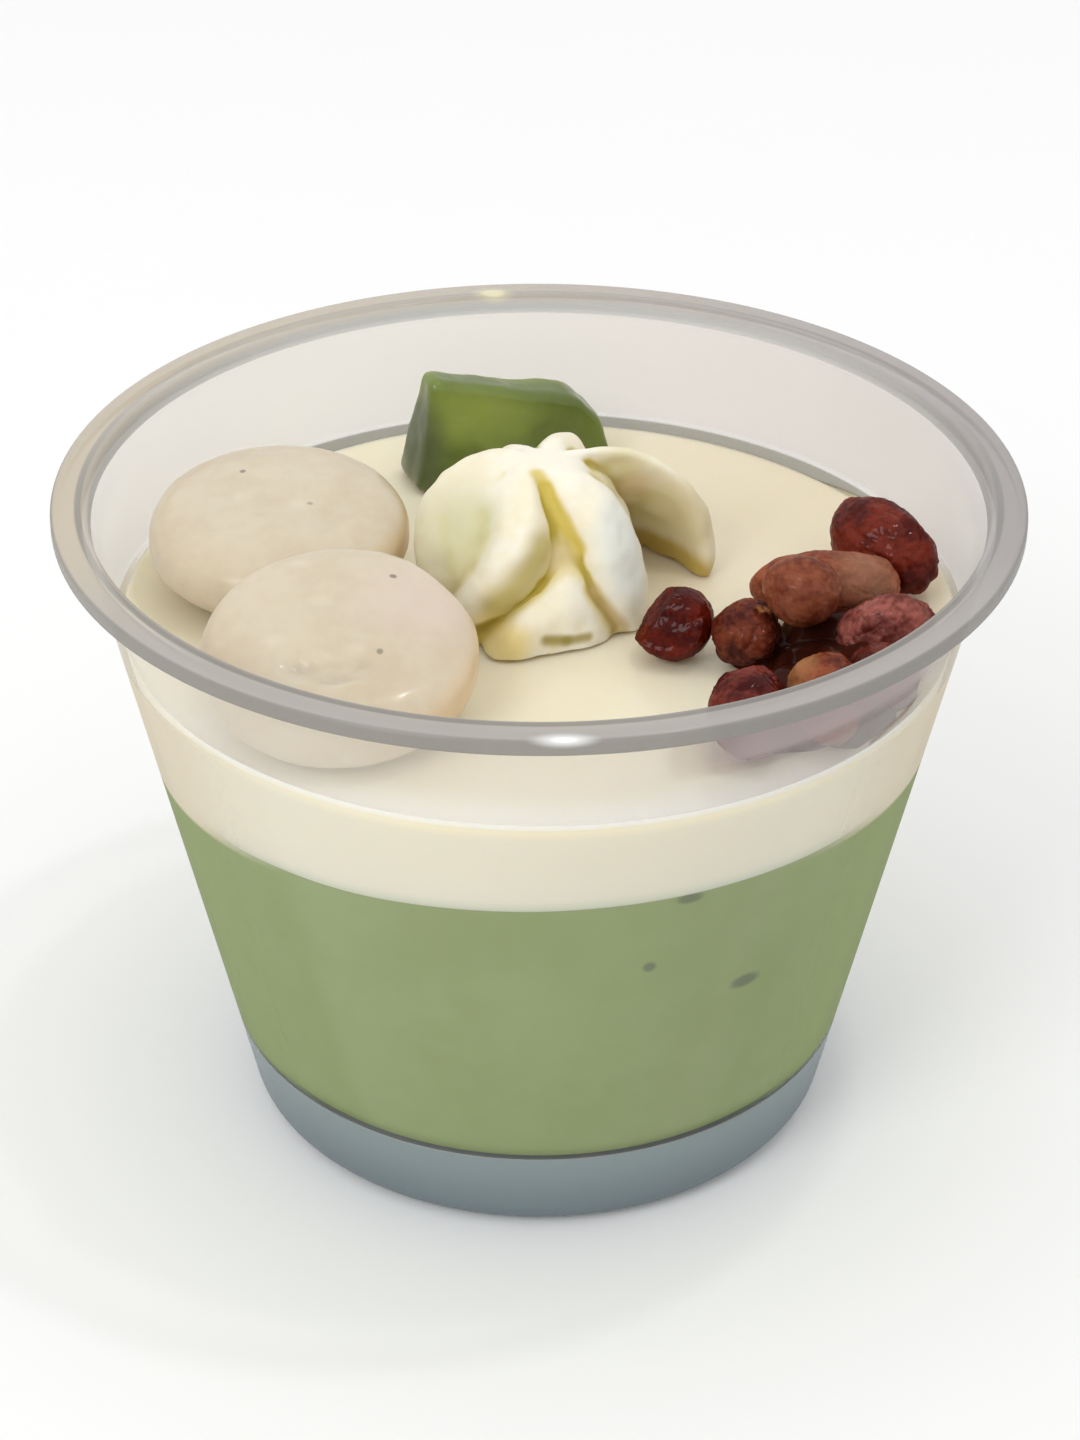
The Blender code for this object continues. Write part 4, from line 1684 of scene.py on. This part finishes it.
@dataclass
class JellyChunk:
    """The tapered chunk of green jelly with a sloping top and a cut corner."""

    finish: MoistFood
    base: Point = (0.0224, 0.0072)
    top_scale: Point = (0.77, 0.55)
    height: float = 0.0122
    centre: Point = (-0.0036, 0.0286)
    turn: float = 20.0
    floor: float = 0.0558
    rounding: float = 0.0010
    rounding_steps: int = 4
    voxel: float = 0.00022
    smoothing: int = 4
    lumps: tuple[Wave, ...] = ((190.0, 0.00030), (620.0, 0.00008))
    shrink: float = 0.00012
    cuts: tuple[tuple[Place, Place], ...] = (
        ((-0.0082, 0.0, 0.0120), (0.25, 0.0, 0.97)),
        ((0.0062, 0.0, 0.0091), (0.70, 0.0, 0.71)))

    def build(self) -> None:
        """Make the chunk's piece."""
        bm = bmesh.new()
        bmesh.ops.create_cube(bm, size=1.0)
        for vert in bm.verts:
            upper = vert.co.z > 0
            vert.co.x *= self.base[0] * (self.top_scale[0] if upper else 1.0)
            vert.co.y *= self.base[1] * (self.top_scale[1] if upper else 1.0)
            vert.co.z = self.height if upper else 0.0
        for point, direction in self.cuts:
            trimmed(bm, point, direction)
        bmesh.ops.bevel(bm, geom=bm.verts[:] + bm.edges[:], offset=self.rounding,
                        offset_type="OFFSET", segments=self.rounding_steps, profile=0.5,
                        affect="EDGES", clamp_overlap=True, material=-1)
        bm = fused(bm, self.voxel, self.smoothing)
        roughen(bm, lambda co, normal: uneven(co, *self.lumps) - self.shrink)
        place = Matrix.Translation((*self.centre, self.floor))
        bm.transform(place @ Matrix.Rotation(math.radians(self.turn), 4, "Z"))
        add_piece("jelly_chunk", bm, self.finish, ["green_jelly_chunk"])


@dataclass(frozen=True)
class Bean:
    """Place, half sizes, turn, wrinkling and flattened sides of one bean."""

    centre: Place
    half: Place
    turn: Place
    wrinkle: float
    flats: tuple[tuple[Place, Place], ...] = ()


@dataclass
class BeanPile:
    """The pile of sweet beans and the syrup between them."""

    skins: Sequence[MoistFood]
    syrup: MoistFood
    floor: float = 0.05585
    bore: float = 0.0408
    swell: float = 0.00022
    narrowing: float = 0.92
    bend: float = 0.18
    bend_shift: float = 0.06
    flattening: float = 0.92
    seed_step: Place = (3.1, 1.7, 2.3)
    lump_scale: float = 190.0
    lump_share: float = 1.8
    fold_scale: Place = (260.0, 520.0, 520.0)
    fold_share: float = 2.6
    fold_level: float = 0.35
    fine_scale: float = 1300.0
    fine_share: float = 0.9
    fine_level: float = 0.3
    beans: tuple[Bean, ...] = (
        Bean((0.0131, -0.0110, 0.0593), (0.0040, 0.0037, 0.0034), (0, 0, 20), 0.00012,
             (((-0.0012, -0.0016, 0.0008), (-0.5, -0.75, 0.45)),
              ((-0.0020, 0.0, 0.0010), (-0.75, 0.3, 0.55)))),
        Bean((0.0200, -0.0123, 0.0591), (0.0032, 0.0035, 0.0031), (0, 10, 35), 0.00022),
        Bean((0.0252, -0.0124, 0.0637), (0.0037, 0.0034, 0.0032), (0, 15, 10), 0.00008),
        Bean((0.0281, -0.0046, 0.0596), (0.0073, 0.0038, 0.0037), (0, 0, 6), 0.00016),
        Bean((0.0342, 0.0034, 0.0600), (0.0064, 0.0043, 0.0042), (0, 8, -50), 0.00020),
        Bean((0.0334, -0.0138, 0.0596), (0.0046, 0.0036, 0.0037), (0, -6, 12), 0.00026),
        Bean((0.0267, -0.0256, 0.0598), (0.0033, 0.0051, 0.0039), (8, 0, 10), 0.00016),
        Bean((0.0194, -0.0276, 0.0595), (0.0037, 0.0053, 0.0036), (8, 0, -10), 0.00024),
        Bean((0.0323, -0.0210, 0.0593), (0.0030, 0.0032, 0.0033), (0, 0, 0), 0.00014))
    pools: tuple[tuple[Point, Place], ...] = (
        ((0.0236, -0.0112), (0.0056, 0.0036, 0.0022)),
        ((0.0282, -0.0100), (0.0054, 0.0044, 0.0050)),
        ((0.0268, -0.0165), (0.0052, 0.0050, 0.0044)),
        ((0.0316, -0.0170), (0.0050, 0.0050, 0.0050)),
        ((0.0226, -0.0235), (0.0058, 0.0052, 0.0026)),
        ((0.0330, -0.0070), (0.0048, 0.0050, 0.0036)),
        ((0.0296, -0.0235), (0.0044, 0.0044, 0.0046)),
        ((0.0245, -0.0205), (0.0044, 0.0040, 0.0044)))
    pool_voxel: float = 0.00030
    pool_smoothing: int = 8
    pool_ripple: Wave = (300.0, 0.0005)
    wall_gap: float = 0.0002

    def skin(self, co: Vector, wrinkle: float, seed: Vector) -> float:
        """Height of the lumps and folds of a bean's skin.

        Args:
            co: The place on the bean, before it is turned.
            wrinkle: How strong the bean's wrinkling is.
            seed: What makes this bean's wrinkles its own.

        Returns:
            The height.
        """
        stretched = Vector([part * scale for part, scale in zip(co, self.fold_scale)])
        folds = abs(noise.noise(stretched + seed))
        fine = abs(noise.noise(co * self.fine_scale + seed))
        lumps = noise.noise(co * self.lump_scale + seed)
        return wrinkle * (self.lump_share * lumps
                          - self.fold_share * (self.fold_level - folds)
                          - self.fine_share * (self.fine_level - fine))

    def add_bean(self, index: int, bean: Bean) -> None:
        """Make one bean's piece.

        Args:
            index: The bean's number, from 1.
            bean: Its sizes.
        """
        bm = bmesh.new()
        bmesh.ops.create_icosphere(bm, subdivisions=6, radius=1.0)
        for vert in bm.verts:
            bend = self.bend * vert.co.x ** 2 - self.bend_shift
            half = [size + self.swell for size in bean.half]
            vert.co = (vert.co.x * half[0], (vert.co.y * self.narrowing + bend) * half[1],
                       vert.co.z * half[2])
        for point, direction in bean.flats:
            normal = Vector(direction).normalized()
            for vert in bm.verts:
                over = (vert.co - Vector(point)).dot(normal)
                if over > 0.0:
                    vert.co -= normal * over * self.flattening
        seed = Vector([index * step for step in self.seed_step])
        roughen(bm, lambda co, normal: self.skin(co, bean.wrinkle, seed))
        turn = Euler([math.radians(angle) for angle in bean.turn]).to_matrix().to_4x4()
        bm.transform(Matrix.Translation(bean.centre) @ turn)
        for vert in bm.verts:
            vert.co.z = max(vert.co.z, self.floor)
        add_piece(f"bean_{index}", bm, self.skins[index - 1],
                  [f"red_bean_{index}"])

    def add_syrup(self) -> None:
        """Make the puddle of syrup under and between the beans."""
        bm = bmesh.new()
        for middle, half in self.pools:
            made = bmesh.ops.create_uvsphere(bm, u_segments=24, v_segments=12, radius=1.0)
            bmesh.ops.scale(bm, vec=half, verts=made["verts"])
            bmesh.ops.translate(bm, vec=(*middle, MILK_LEVEL), verts=made["verts"])
        bm = fused(bm, self.pool_voxel, self.pool_smoothing)
        roughen(bm, lambda co, normal: uneven(co, self.pool_ripple))
        for vert in bm.verts:
            radius = math.hypot(vert.co.x, vert.co.y)
            inward = min(1.0, (self.bore - self.wall_gap) / radius)
            vert.co.x, vert.co.y = vert.co.x * inward, vert.co.y * inward
        add_piece("syrup", bm, self.syrup)

    def build(self) -> None:
        """Make the beans and their syrup."""
        for index, bean in enumerate(self.beans, start=1):
            self.add_bean(index, bean)
        self.add_syrup()


# ------------------------------------------------------------------------ the studio
@dataclass
class Studio:
    """The pale floor, the soft lights and the camera."""

    floor: Paint
    floor_half: float = 3.0
    lens: float = 87.5
    sensor: float = 36.0
    clip: float = 0.01
    camera_place: Place = (0.0, -0.3035, 0.2275)
    pitch: float = 31.5
    yaw: float = -0.03
    roll: float = 0.2
    world_strength: float = 0.93
    lamps: tuple[tuple[Place, float, float], ...] = (
        ((-0.40, -0.60, 0.60), 0.40, 1.9),
        ((0.20, 0.00, 0.80), 0.04, 0.45))
    aim: Place = (0.0, 0.0, 0.04)

    def add_floor(self) -> None:
        """Make the floor under the cup."""
        bm = bmesh.new()
        bmesh.ops.create_grid(bm, x_segments=4, y_segments=4, size=self.floor_half)
        mesh = bpy.data.meshes.new("studio_floor")
        bm.to_mesh(mesh)
        bm.free()
        floor = bpy.data.objects.new("studio_floor", mesh)
        bpy.context.scene.collection.objects.link(floor)
        mesh.materials.append(self.floor.material())

    def add_lights(self) -> None:
        """Make the lamps and the even white sky."""
        for number, (place, size, power) in enumerate(self.lamps, start=1):
            lamp = bpy.data.lights.new(f"soft_light_{number}", "AREA")
            lamp.shape = "DISK"
            lamp.size = size
            lamp.energy = power
            light = bpy.data.objects.new(lamp.name, lamp)
            bpy.context.scene.collection.objects.link(light)
            light.location = place
            beam = Vector(self.aim) - Vector(place)
            light.rotation_euler = beam.to_track_quat("-Z", "Y").to_euler()
        world = bpy.data.worlds.new("soft_white")
        world.use_nodes = True
        sky = world.node_tree.nodes["Background"]
        sky.inputs["Color"].default_value = (1.0, 1.0, 1.0, 1.0)
        sky.inputs["Strength"].default_value = self.world_strength
        bpy.context.scene.world = world
        bpy.context.scene.view_settings.view_transform = "Standard"

    def add_camera(self) -> None:
        """Make the camera that sees the cup as the photograph does."""
        camera = bpy.data.cameras.new("camera")
        camera.lens = self.lens
        camera.sensor_width = self.sensor
        camera.clip_start = self.clip
        view = bpy.data.objects.new("camera", camera)
        bpy.context.scene.collection.objects.link(view)
        view.matrix_world = (
            Matrix.Translation(self.camera_place)
            @ Matrix.Rotation(math.radians(self.yaw), 4, "Z")
            @ Matrix.Rotation(math.radians(90.0 - self.pitch), 4, "X")
            @ Matrix.Rotation(math.radians(self.roll), 4, "Z"))
        bpy.context.scene.camera = view

    def build(self) -> None:
        """Make the floor, the lights and the camera."""
        self.add_floor()
        self.add_lights()
        self.add_camera()


# ------------------------------------------------------------- the puddings' surfaces
@dataclass(frozen=True)
class MilkTop:
    """The milk pudding's top: faint swells, an edge that clings, a crevice at the back."""

    swell: Wave = (70.0, 0.00008)
    swell_plane: float = 2.0
    cling: float = 0.00018
    cling_reach: float = 0.0006
    crevice_depth: float = 0.0022
    crevice_span: Span = (0.0004, 0.0022)
    crevice_opens: Span = (20.0, 60.0)
    crevice_closes: Span = (118.0, 160.0)

    def height(self, x: float, y: float) -> float:
        """Height of the top, away from the wall."""
        return MILK_LEVEL + uneven(Vector((x, y, self.swell_plane)), self.swell)

    def edge(self, away: float, bearing: float) -> float:
        """Rise or fall of the top near the wall.

        Args:
            away: Distance from the wall.
            bearing: Direction from the cup's axis, in radians.

        Returns:
            The change of height: a small rim of pudding that clings to the wall, and
            a crevice where it has come away at the back.
        """
        degrees = math.degrees(bearing)
        closed = between(degrees, *self.crevice_closes)
        crevice = between(degrees, *self.crevice_opens) * (1.0 - closed)
        cling = self.cling * math.exp(-away / self.cling_reach) * (1.0 - crevice)
        fall = self.crevice_depth * crevice * (1.0 - between(away, *self.crevice_span))
        return cling - fall


@dataclass(frozen=True)
class Boundary:
    """The tilted, slightly wavy boundary between the two puddings."""

    wave: Wave = (90.0, 0.00012)
    overlap: float = 0.00015

    def height(self, x: float, y: float) -> float:
        """Height of the boundary."""
        wave = uneven(Vector((x, y, 0.0)), self.wave)
        return GREEN_LEVEL + BOUNDARY_TILT[0] * x + BOUNDARY_TILT[1] * y + wave

    def lowered(self, x: float, y: float) -> float:
        """Height at which the upper pudding ends, just inside the lower one."""
        return self.height(x, y) - self.overlap


# ----------------------------------------------------------- the finishes of this cup
def bean_skins() -> list[MoistFood]:
    """The finish of each bean, from its own two tones.

    Returns:
        Nine finishes.
    """
    tones = (((0.046, 0.002, 0.001), (0.130, 0.011, 0.004)),
             ((0.050, 0.006, 0.004), (0.190, 0.040, 0.018)),
             ((0.130, 0.026, 0.012), (0.260, 0.078, 0.038)),
             ((0.160, 0.036, 0.016), (0.320, 0.092, 0.044)),
             ((0.060, 0.004, 0.002), (0.170, 0.022, 0.011)),
             ((0.095, 0.016, 0.011), (0.350, 0.105, 0.082)),
             ((0.100, 0.014, 0.006), (0.270, 0.066, 0.026)),
             ((0.050, 0.004, 0.003), (0.190, 0.030, 0.020)),
             ((0.080, 0.012, 0.008), (0.160, 0.036, 0.024)))
    marks = {2: (Streak((0.0212, -0.0128, 0.0618), (0.0228, -0.0120, 0.0606), 0.0005,
                        (0.42, 0.17, 0.05), 0.9),),
             4: (Spot((0.0318, -0.0060, 0.0615), (0.0030, 0.0030, 0.0030),
                      (0.34, 0.17, 0.10), 0.6, 0.6),),
             7: (Spot((0.0245, -0.0240, 0.0610), (0.0016, 0.0034, 0.0034),
                      (0.42, 0.19, 0.07), 0.7, 0.6),)}
    return [MoistFood(f"bean_skin_{index}", low=low, high=high, patch_scale=320.0,
                      grain_scale=1400.0, grain_share=0.35, roughness=0.38, subsurface=0.10,
                      depth=(0.0012, 0.0004, 0.0003), coat=0.27, coat_roughness=0.04,
                      relief=0.00026, wave_scale=900.0, specular=0.0,
                      spots=marks.get(index, ()))
            for index, (low, high) in enumerate(tones, start=1)]


def clear_plastic() -> ClearPlastic:
    """The cup's finish, with a painted glint on the rim, a smear and a trace of syrup.

    Returns:
        The finish.
    """
    # painted highlight: the white glint on the rim's front; then a real smear and syrup traces
    marks = (Spot((0.0023, -0.0473, 0.0686), (0.0022, 0.0008, 0.0006), (1.0, 1.0, 1.0), 0.9, 0.7),
             Spot((-0.0051, 0.0446, 0.0686), (0.0018, 0.0010, 0.0010), (0.86, 0.80, 0.55),
                  0.8, 0.6),
             Streak((0.0310, -0.0292, 0.0570), (0.0342, -0.0258, 0.0580), 0.0005,
                    (0.20, 0.11, 0.06), 0.7, 0.8),
             Streak((0.0342, -0.0258, 0.0580), (0.0357, -0.0217, 0.0600), 0.0005,
                    (0.20, 0.11, 0.06), 0.7, 0.8))
    return ClearPlastic("clear_plastic", marks=marks)


def green_pudding() -> MoistFood:
    """The green pudding's finish, with its few dark specks."""
    specks = (Spot((0.0199, -0.0297, 0.0305), (0.0014, 0.0024, 0.0008), (0.08, 0.10, 0.05)),
              Spot((0.0105, -0.0355, 0.0361), (0.0006, 0.0024, 0.0006), (0.10, 0.13, 0.06)),
              Spot((0.0141, -0.0362, 0.0444), (0.0012, 0.0024, 0.0006), (0.10, 0.13, 0.06)))
    return MoistFood("green_pudding", low=(0.249, 0.318, 0.112), high=(0.272, 0.342, 0.133),
                     patch_scale=55.0, grain_scale=260.0, grain_share=0.35, roughness=0.4,
                     subsurface=0.2, depth=(0.003, 0.004, 0.001), relief=0.00004,
                     spots=specks)


def milk_pudding() -> LayeredPudding:
    """The milk pudding's finish, tinted where it lies on the green one.

    Returns:
        The finish, with the soft shade behind the toppings at the right.
    """
    shade = Spot((0.0230, 0.0150, MILK_LEVEL), (0.0200, 0.0240, 0.0030), (0.76, 0.67, 0.49),
                 0.75, 1.0)
    return LayeredPudding("milk_pudding", low=(0.885, 0.81, 0.605), high=(0.905, 0.84, 0.655),
                          patch_scale=45.0, grain_scale=240.0, grain_share=0.3, roughness=0.32,
                          subsurface=0.35, depth=(0.005, 0.0035, 0.0018), coat=0.15,
                          relief=0.00004, tint=(0.70, 0.70, 0.53), spots=(shade,))


def mochi_dough(name: str, centre: Place, radius: float,
                marks: tuple[Mark, ...]) -> MochiDough:
    """The dough of one disc, with its lumps and specks.

    Args:
        name: The disc's name.
        centre: Its centre.
        radius: Its radius.
        marks: The marks on it.

    Returns:
        The finish.
    """
    return MochiDough(name, low=(0.60, 0.51, 0.37), high=(0.65, 0.575, 0.44),
                      patch_scale=110.0, grain_scale=600.0, grain_share=0.3, roughness=0.32,
                      subsurface=0.55, depth=(0.006, 0.004, 0.0022), coat=0.25,
                      coat_roughness=0.14, relief=0.00010, wave_scale=180.0, centre=centre,
                      radius=radius, spots=marks)


def lumps(places: Sequence[Place], size: float) -> tuple[Spot, ...]:
    """Pale lumps that show through the dough at some places."""
    half_size = (size, size * 0.7, size)
    return tuple(Spot(place, half_size, (0.80, 0.74, 0.63), 0.26, 0.9) for place in places)


def piped_cream() -> PipedCream:
    """The rosette's finish, with painted shade and one painted highlight on a fold."""
    # painted shade: olive, tan, yellow and brown marks in the hollows and creases, on the shaded
    # flanks, under the fan and in the slit
    marks = (
        # painted highlight: the cool white on the front-right fold
        Spot((0.0082, -0.0050, 0.0640), (0.0030, 0.0036, 0.0066), (0.80, 0.845, 0.80),
             0.75, 0.45),
        # painted shade from here on
        Spot((-0.0092, -0.0030, 0.0630), (0.0056, 0.0058, 0.0072), (0.62, 0.57, 0.37),
             0.85, 0.6),
        Spot((-0.0066, -0.0045, 0.0660), (0.0034, 0.0030, 0.0034), (0.60, 0.59, 0.34),
             0.55, 0.6),
        Streak((-0.0094, -0.0030, 0.0664), (-0.0084, -0.0058, 0.0622), 0.0006,
               (0.60, 0.57, 0.28), 0.4, 0.8),
        Streak((0.0001, -0.0079, 0.0656), (-0.0040, -0.0101, 0.0604), 0.0017,
               (0.50, 0.41, 0.10), 0.85, 0.6),
        Streak((-0.0048, -0.0108, 0.0576), (-0.0030, -0.0124, 0.0574), 0.0022,
               (0.84, 0.67, 0.24), 0.80, 0.5),
        Streak((0.0004, -0.0077, 0.0620), (-0.0062, -0.0092, 0.0572), 0.0007,
               (0.36, 0.26, 0.02), 0.85, 0.6),
        Streak((-0.0002, -0.0022, 0.0706), (0.0039, -0.0060, 0.0648), 0.0008,
               (0.66, 0.52, 0.10), 0.85, 0.6),
        Spot((0.0020, -0.0068, 0.0640), (0.0014, 0.0016, 0.0016), (0.80, 0.68, 0.42),
             0.6, 0.6),
        Streak((0.0052, -0.0072, 0.0606), (0.0082, -0.0074, 0.0562), 0.0009,
               (0.50, 0.36, 0.14), 0.75, 0.6),
        Spot((0.0075, 0.0045, 0.0672), (0.0030, 0.0030, 0.0030), (0.66, 0.58, 0.27),
             0.7, 0.6),
        Spot((0.0111, 0.0075, 0.0622), (0.0038, 0.0038, 0.0046), (0.62, 0.53, 0.25),
             0.80, 0.6),
        Spot((0.0150, 0.0055, 0.0612), (0.0030, 0.0034, 0.0040), (0.60, 0.51, 0.27),
             0.7, 0.6),
        Spot((0.0091, 0.0062, 0.0656), (0.0018, 0.0018, 0.0014), (0.72, 0.52, 0.26),
             0.5, 0.8),
        Streak((0.0100, 0.0106, 0.0570), (0.0160, 0.0048, 0.0560), 0.0019,
               (0.50, 0.35, 0.05), 0.9, 0.5),
        Streak((0.0008, -0.0113, 0.0574), (0.0027, -0.0108, 0.0571), 0.0006,
               (0.34, 0.27, 0.05), 0.85, 0.8),
        Streak((0.0027, -0.0108, 0.0571), (0.0048, -0.0099, 0.0570), 0.0005,
               (0.34, 0.27, 0.05), 0.80, 0.8))
    return PipedCream("piped_cream", low=(0.86, 0.79, 0.60), high=(0.89, 0.85, 0.73),
                      patch_scale=120.0, grain_scale=700.0, grain_share=0.3, roughness=0.45,
                      subsurface=0.25, depth=(0.0022, 0.0018, 0.0008), relief=0.00003,
                      shade=(0.74, 0.65, 0.32), hollow=(0.47, 0.35, 0.04), spots=marks)


def green_jelly() -> MoistFood:
    """The jelly chunk's wet dark green finish, with painted light and shade on its faces."""
    # painted light: the bright patch on the front face; painted shade: the darker lower right,
    # the dark left face and the dark top strip
    marks = (Spot((-0.0062, 0.0251, 0.0645), (0.0050, 0.0030, 0.0034), (0.25, 0.31, 0.06),
                  0.8, 0.8),
             Spot((0.0036, 0.0285, 0.0600), (0.0040, 0.0040, 0.0060), (0.095, 0.130, 0.018),
                  0.7, 0.7),
             Spot((-0.0132, 0.0246, 0.0600), (0.0031, 0.0042, 0.0066), (0.080, 0.100, 0.042),
                  0.95, 0.4),
             Streak((-0.0090, 0.0262, 0.0672), (0.0040, 0.0296, 0.0636), 0.0016,
                    (0.085, 0.115, 0.020), 0.65, 0.7))
    return MoistFood("green_jelly", low=(0.085, 0.125, 0.022), high=(0.17, 0.225, 0.038),
                     patch_scale=130.0, grain_scale=500.0, grain_share=0.2, roughness=0.28,
                     subsurface=0.35, depth=(0.003, 0.0035, 0.0008), coat=0.3,
                     coat_roughness=0.12, relief=0.00010, wave_scale=300.0, spots=marks)


def bean_syrup() -> MoistFood:
    """The dark brown syrup's finish."""
    return MoistFood("bean_syrup", low=(0.022, 0.004, 0.002), high=(0.045, 0.010, 0.005),
                     patch_scale=250.0, grain_scale=900.0, roughness=0.3, subsurface=0.0,
                     specular=0.02, coat=0.16, coat_roughness=0.06, relief=0.00009,
                     wave_scale=400.0)


def mochi_discs() -> tuple[MochiDisc, MochiDisc]:
    """The two mochi discs, the back one first.

    Returns:
        The discs, with their lumps, specks and dents.
    """
    dark = (0.20, 0.17, 0.14)
    back_centre, back_radius = (-0.0259, 0.0036, 0.0611), 0.0130
    front_centre, front_radius = (-0.0186, -0.0218, 0.0618), 0.0131
    back_marks = (*lumps(((-0.0236, 0.0015, 0.0653), (-0.0292, 0.0030, 0.0655)), 0.0010),
                  Spot((-0.0296, 0.0073, 0.0660), (0.0003, 0.0003, 0.001), dark, 0.8),
                  Spot((-0.0226, 0.0019, 0.0653), (0.0003, 0.0002, 0.001), dark, 0.5))
    front_marks = (
        Spot((-0.0108, -0.0188, 0.0660), (0.0058, 0.0052, 0.0040), (0.66, 0.545, 0.47),
             0.55, 0.7),
        *lumps(((-0.0226, -0.0140, 0.0674), (-0.0204, -0.0196, 0.0666),
                (-0.0243, -0.0244, 0.0650), (-0.0169, -0.0255, 0.0648)), 0.0009),
        Spot((-0.0137, -0.0159, 0.0671), (0.00035, 0.0003, 0.001), dark, 0.85),
        Spot((-0.0146, -0.0257, 0.0647), (0.0003, 0.0003, 0.001), dark, 0.7))
    back = MochiDisc("mochi_back", "mochi_disc_back", back_radius, 0.0096,
                     back_centre, (6.0, 0.0, 0.0),
                     mochi_dough("mochi_back", back_centre, back_radius, back_marks),
                     dents=(((0.004, -0.003), (0.004, 0.003), 0.0005),
                            ((-0.006, -0.002), (0.004, 0.004), 0.0003)))
    front = MochiDisc("mochi_front", "mochi_disc_front", front_radius, 0.0084,
                      front_centre, (16.0, 0.0, 0.0),
                      mochi_dough("mochi_front", front_centre, front_radius, front_marks),
                      dents=(((-0.0012, -0.0052), (0.0050, 0.0022), 0.0009),
                             ((-0.0034, -0.0046), (0.0013, 0.0006), 0.0005),
                             ((0.0002, -0.0060), (0.0015, 0.0006), 0.0005),
                             ((0.0024, -0.0043), (0.0011, 0.0007), 0.0004),
                             ((-0.0012, -0.0036), (0.0016, 0.0006), -0.0004),
                             ((0.0016, -0.0068), (0.0013, 0.0006), -0.0004),
                             ((-0.0028, -0.0066), (0.0012, 0.0006), -0.0003),
                             ((0.0010, 0.0010), (0.006, 0.005), 0.0003)),
                      presses=((42.0, 0.0118), (150.0, 0.0126)))
    return back, front


def main() -> None:
    """Build every piece in order."""
    logging.basicConfig(level=logging.INFO, format="%(name)s: %(message)s")
    form, boundary, milk_top = CupForm(), Boundary(), MilkTop()
    Cup(form, clear_plastic()).build()
    PuddingLayer("green_layer", "green_pudding", "green_pudding", form, green_pudding(),
                 lower=lambda x, y: form.floor_top - form.floor_overlap,
                 upper=boundary.height).build()
    PuddingLayer("milk_layer", "milk_pudding", "milk_pudding", form, milk_pudding(),
                 lower=boundary.lowered, upper=milk_top.height, reach=0.00015,
                 edge=milk_top.edge).build()
    for disc in mochi_discs():
        disc.build()
    Rosette(piped_cream()).build()
    JellyChunk(green_jelly()).build()
    BeanPile(bean_skins(), bean_syrup()).build()
    Studio(Paint("studio_paint", (0.93, 0.93, 0.93))).build()


if __name__ == "__main__":
    main()
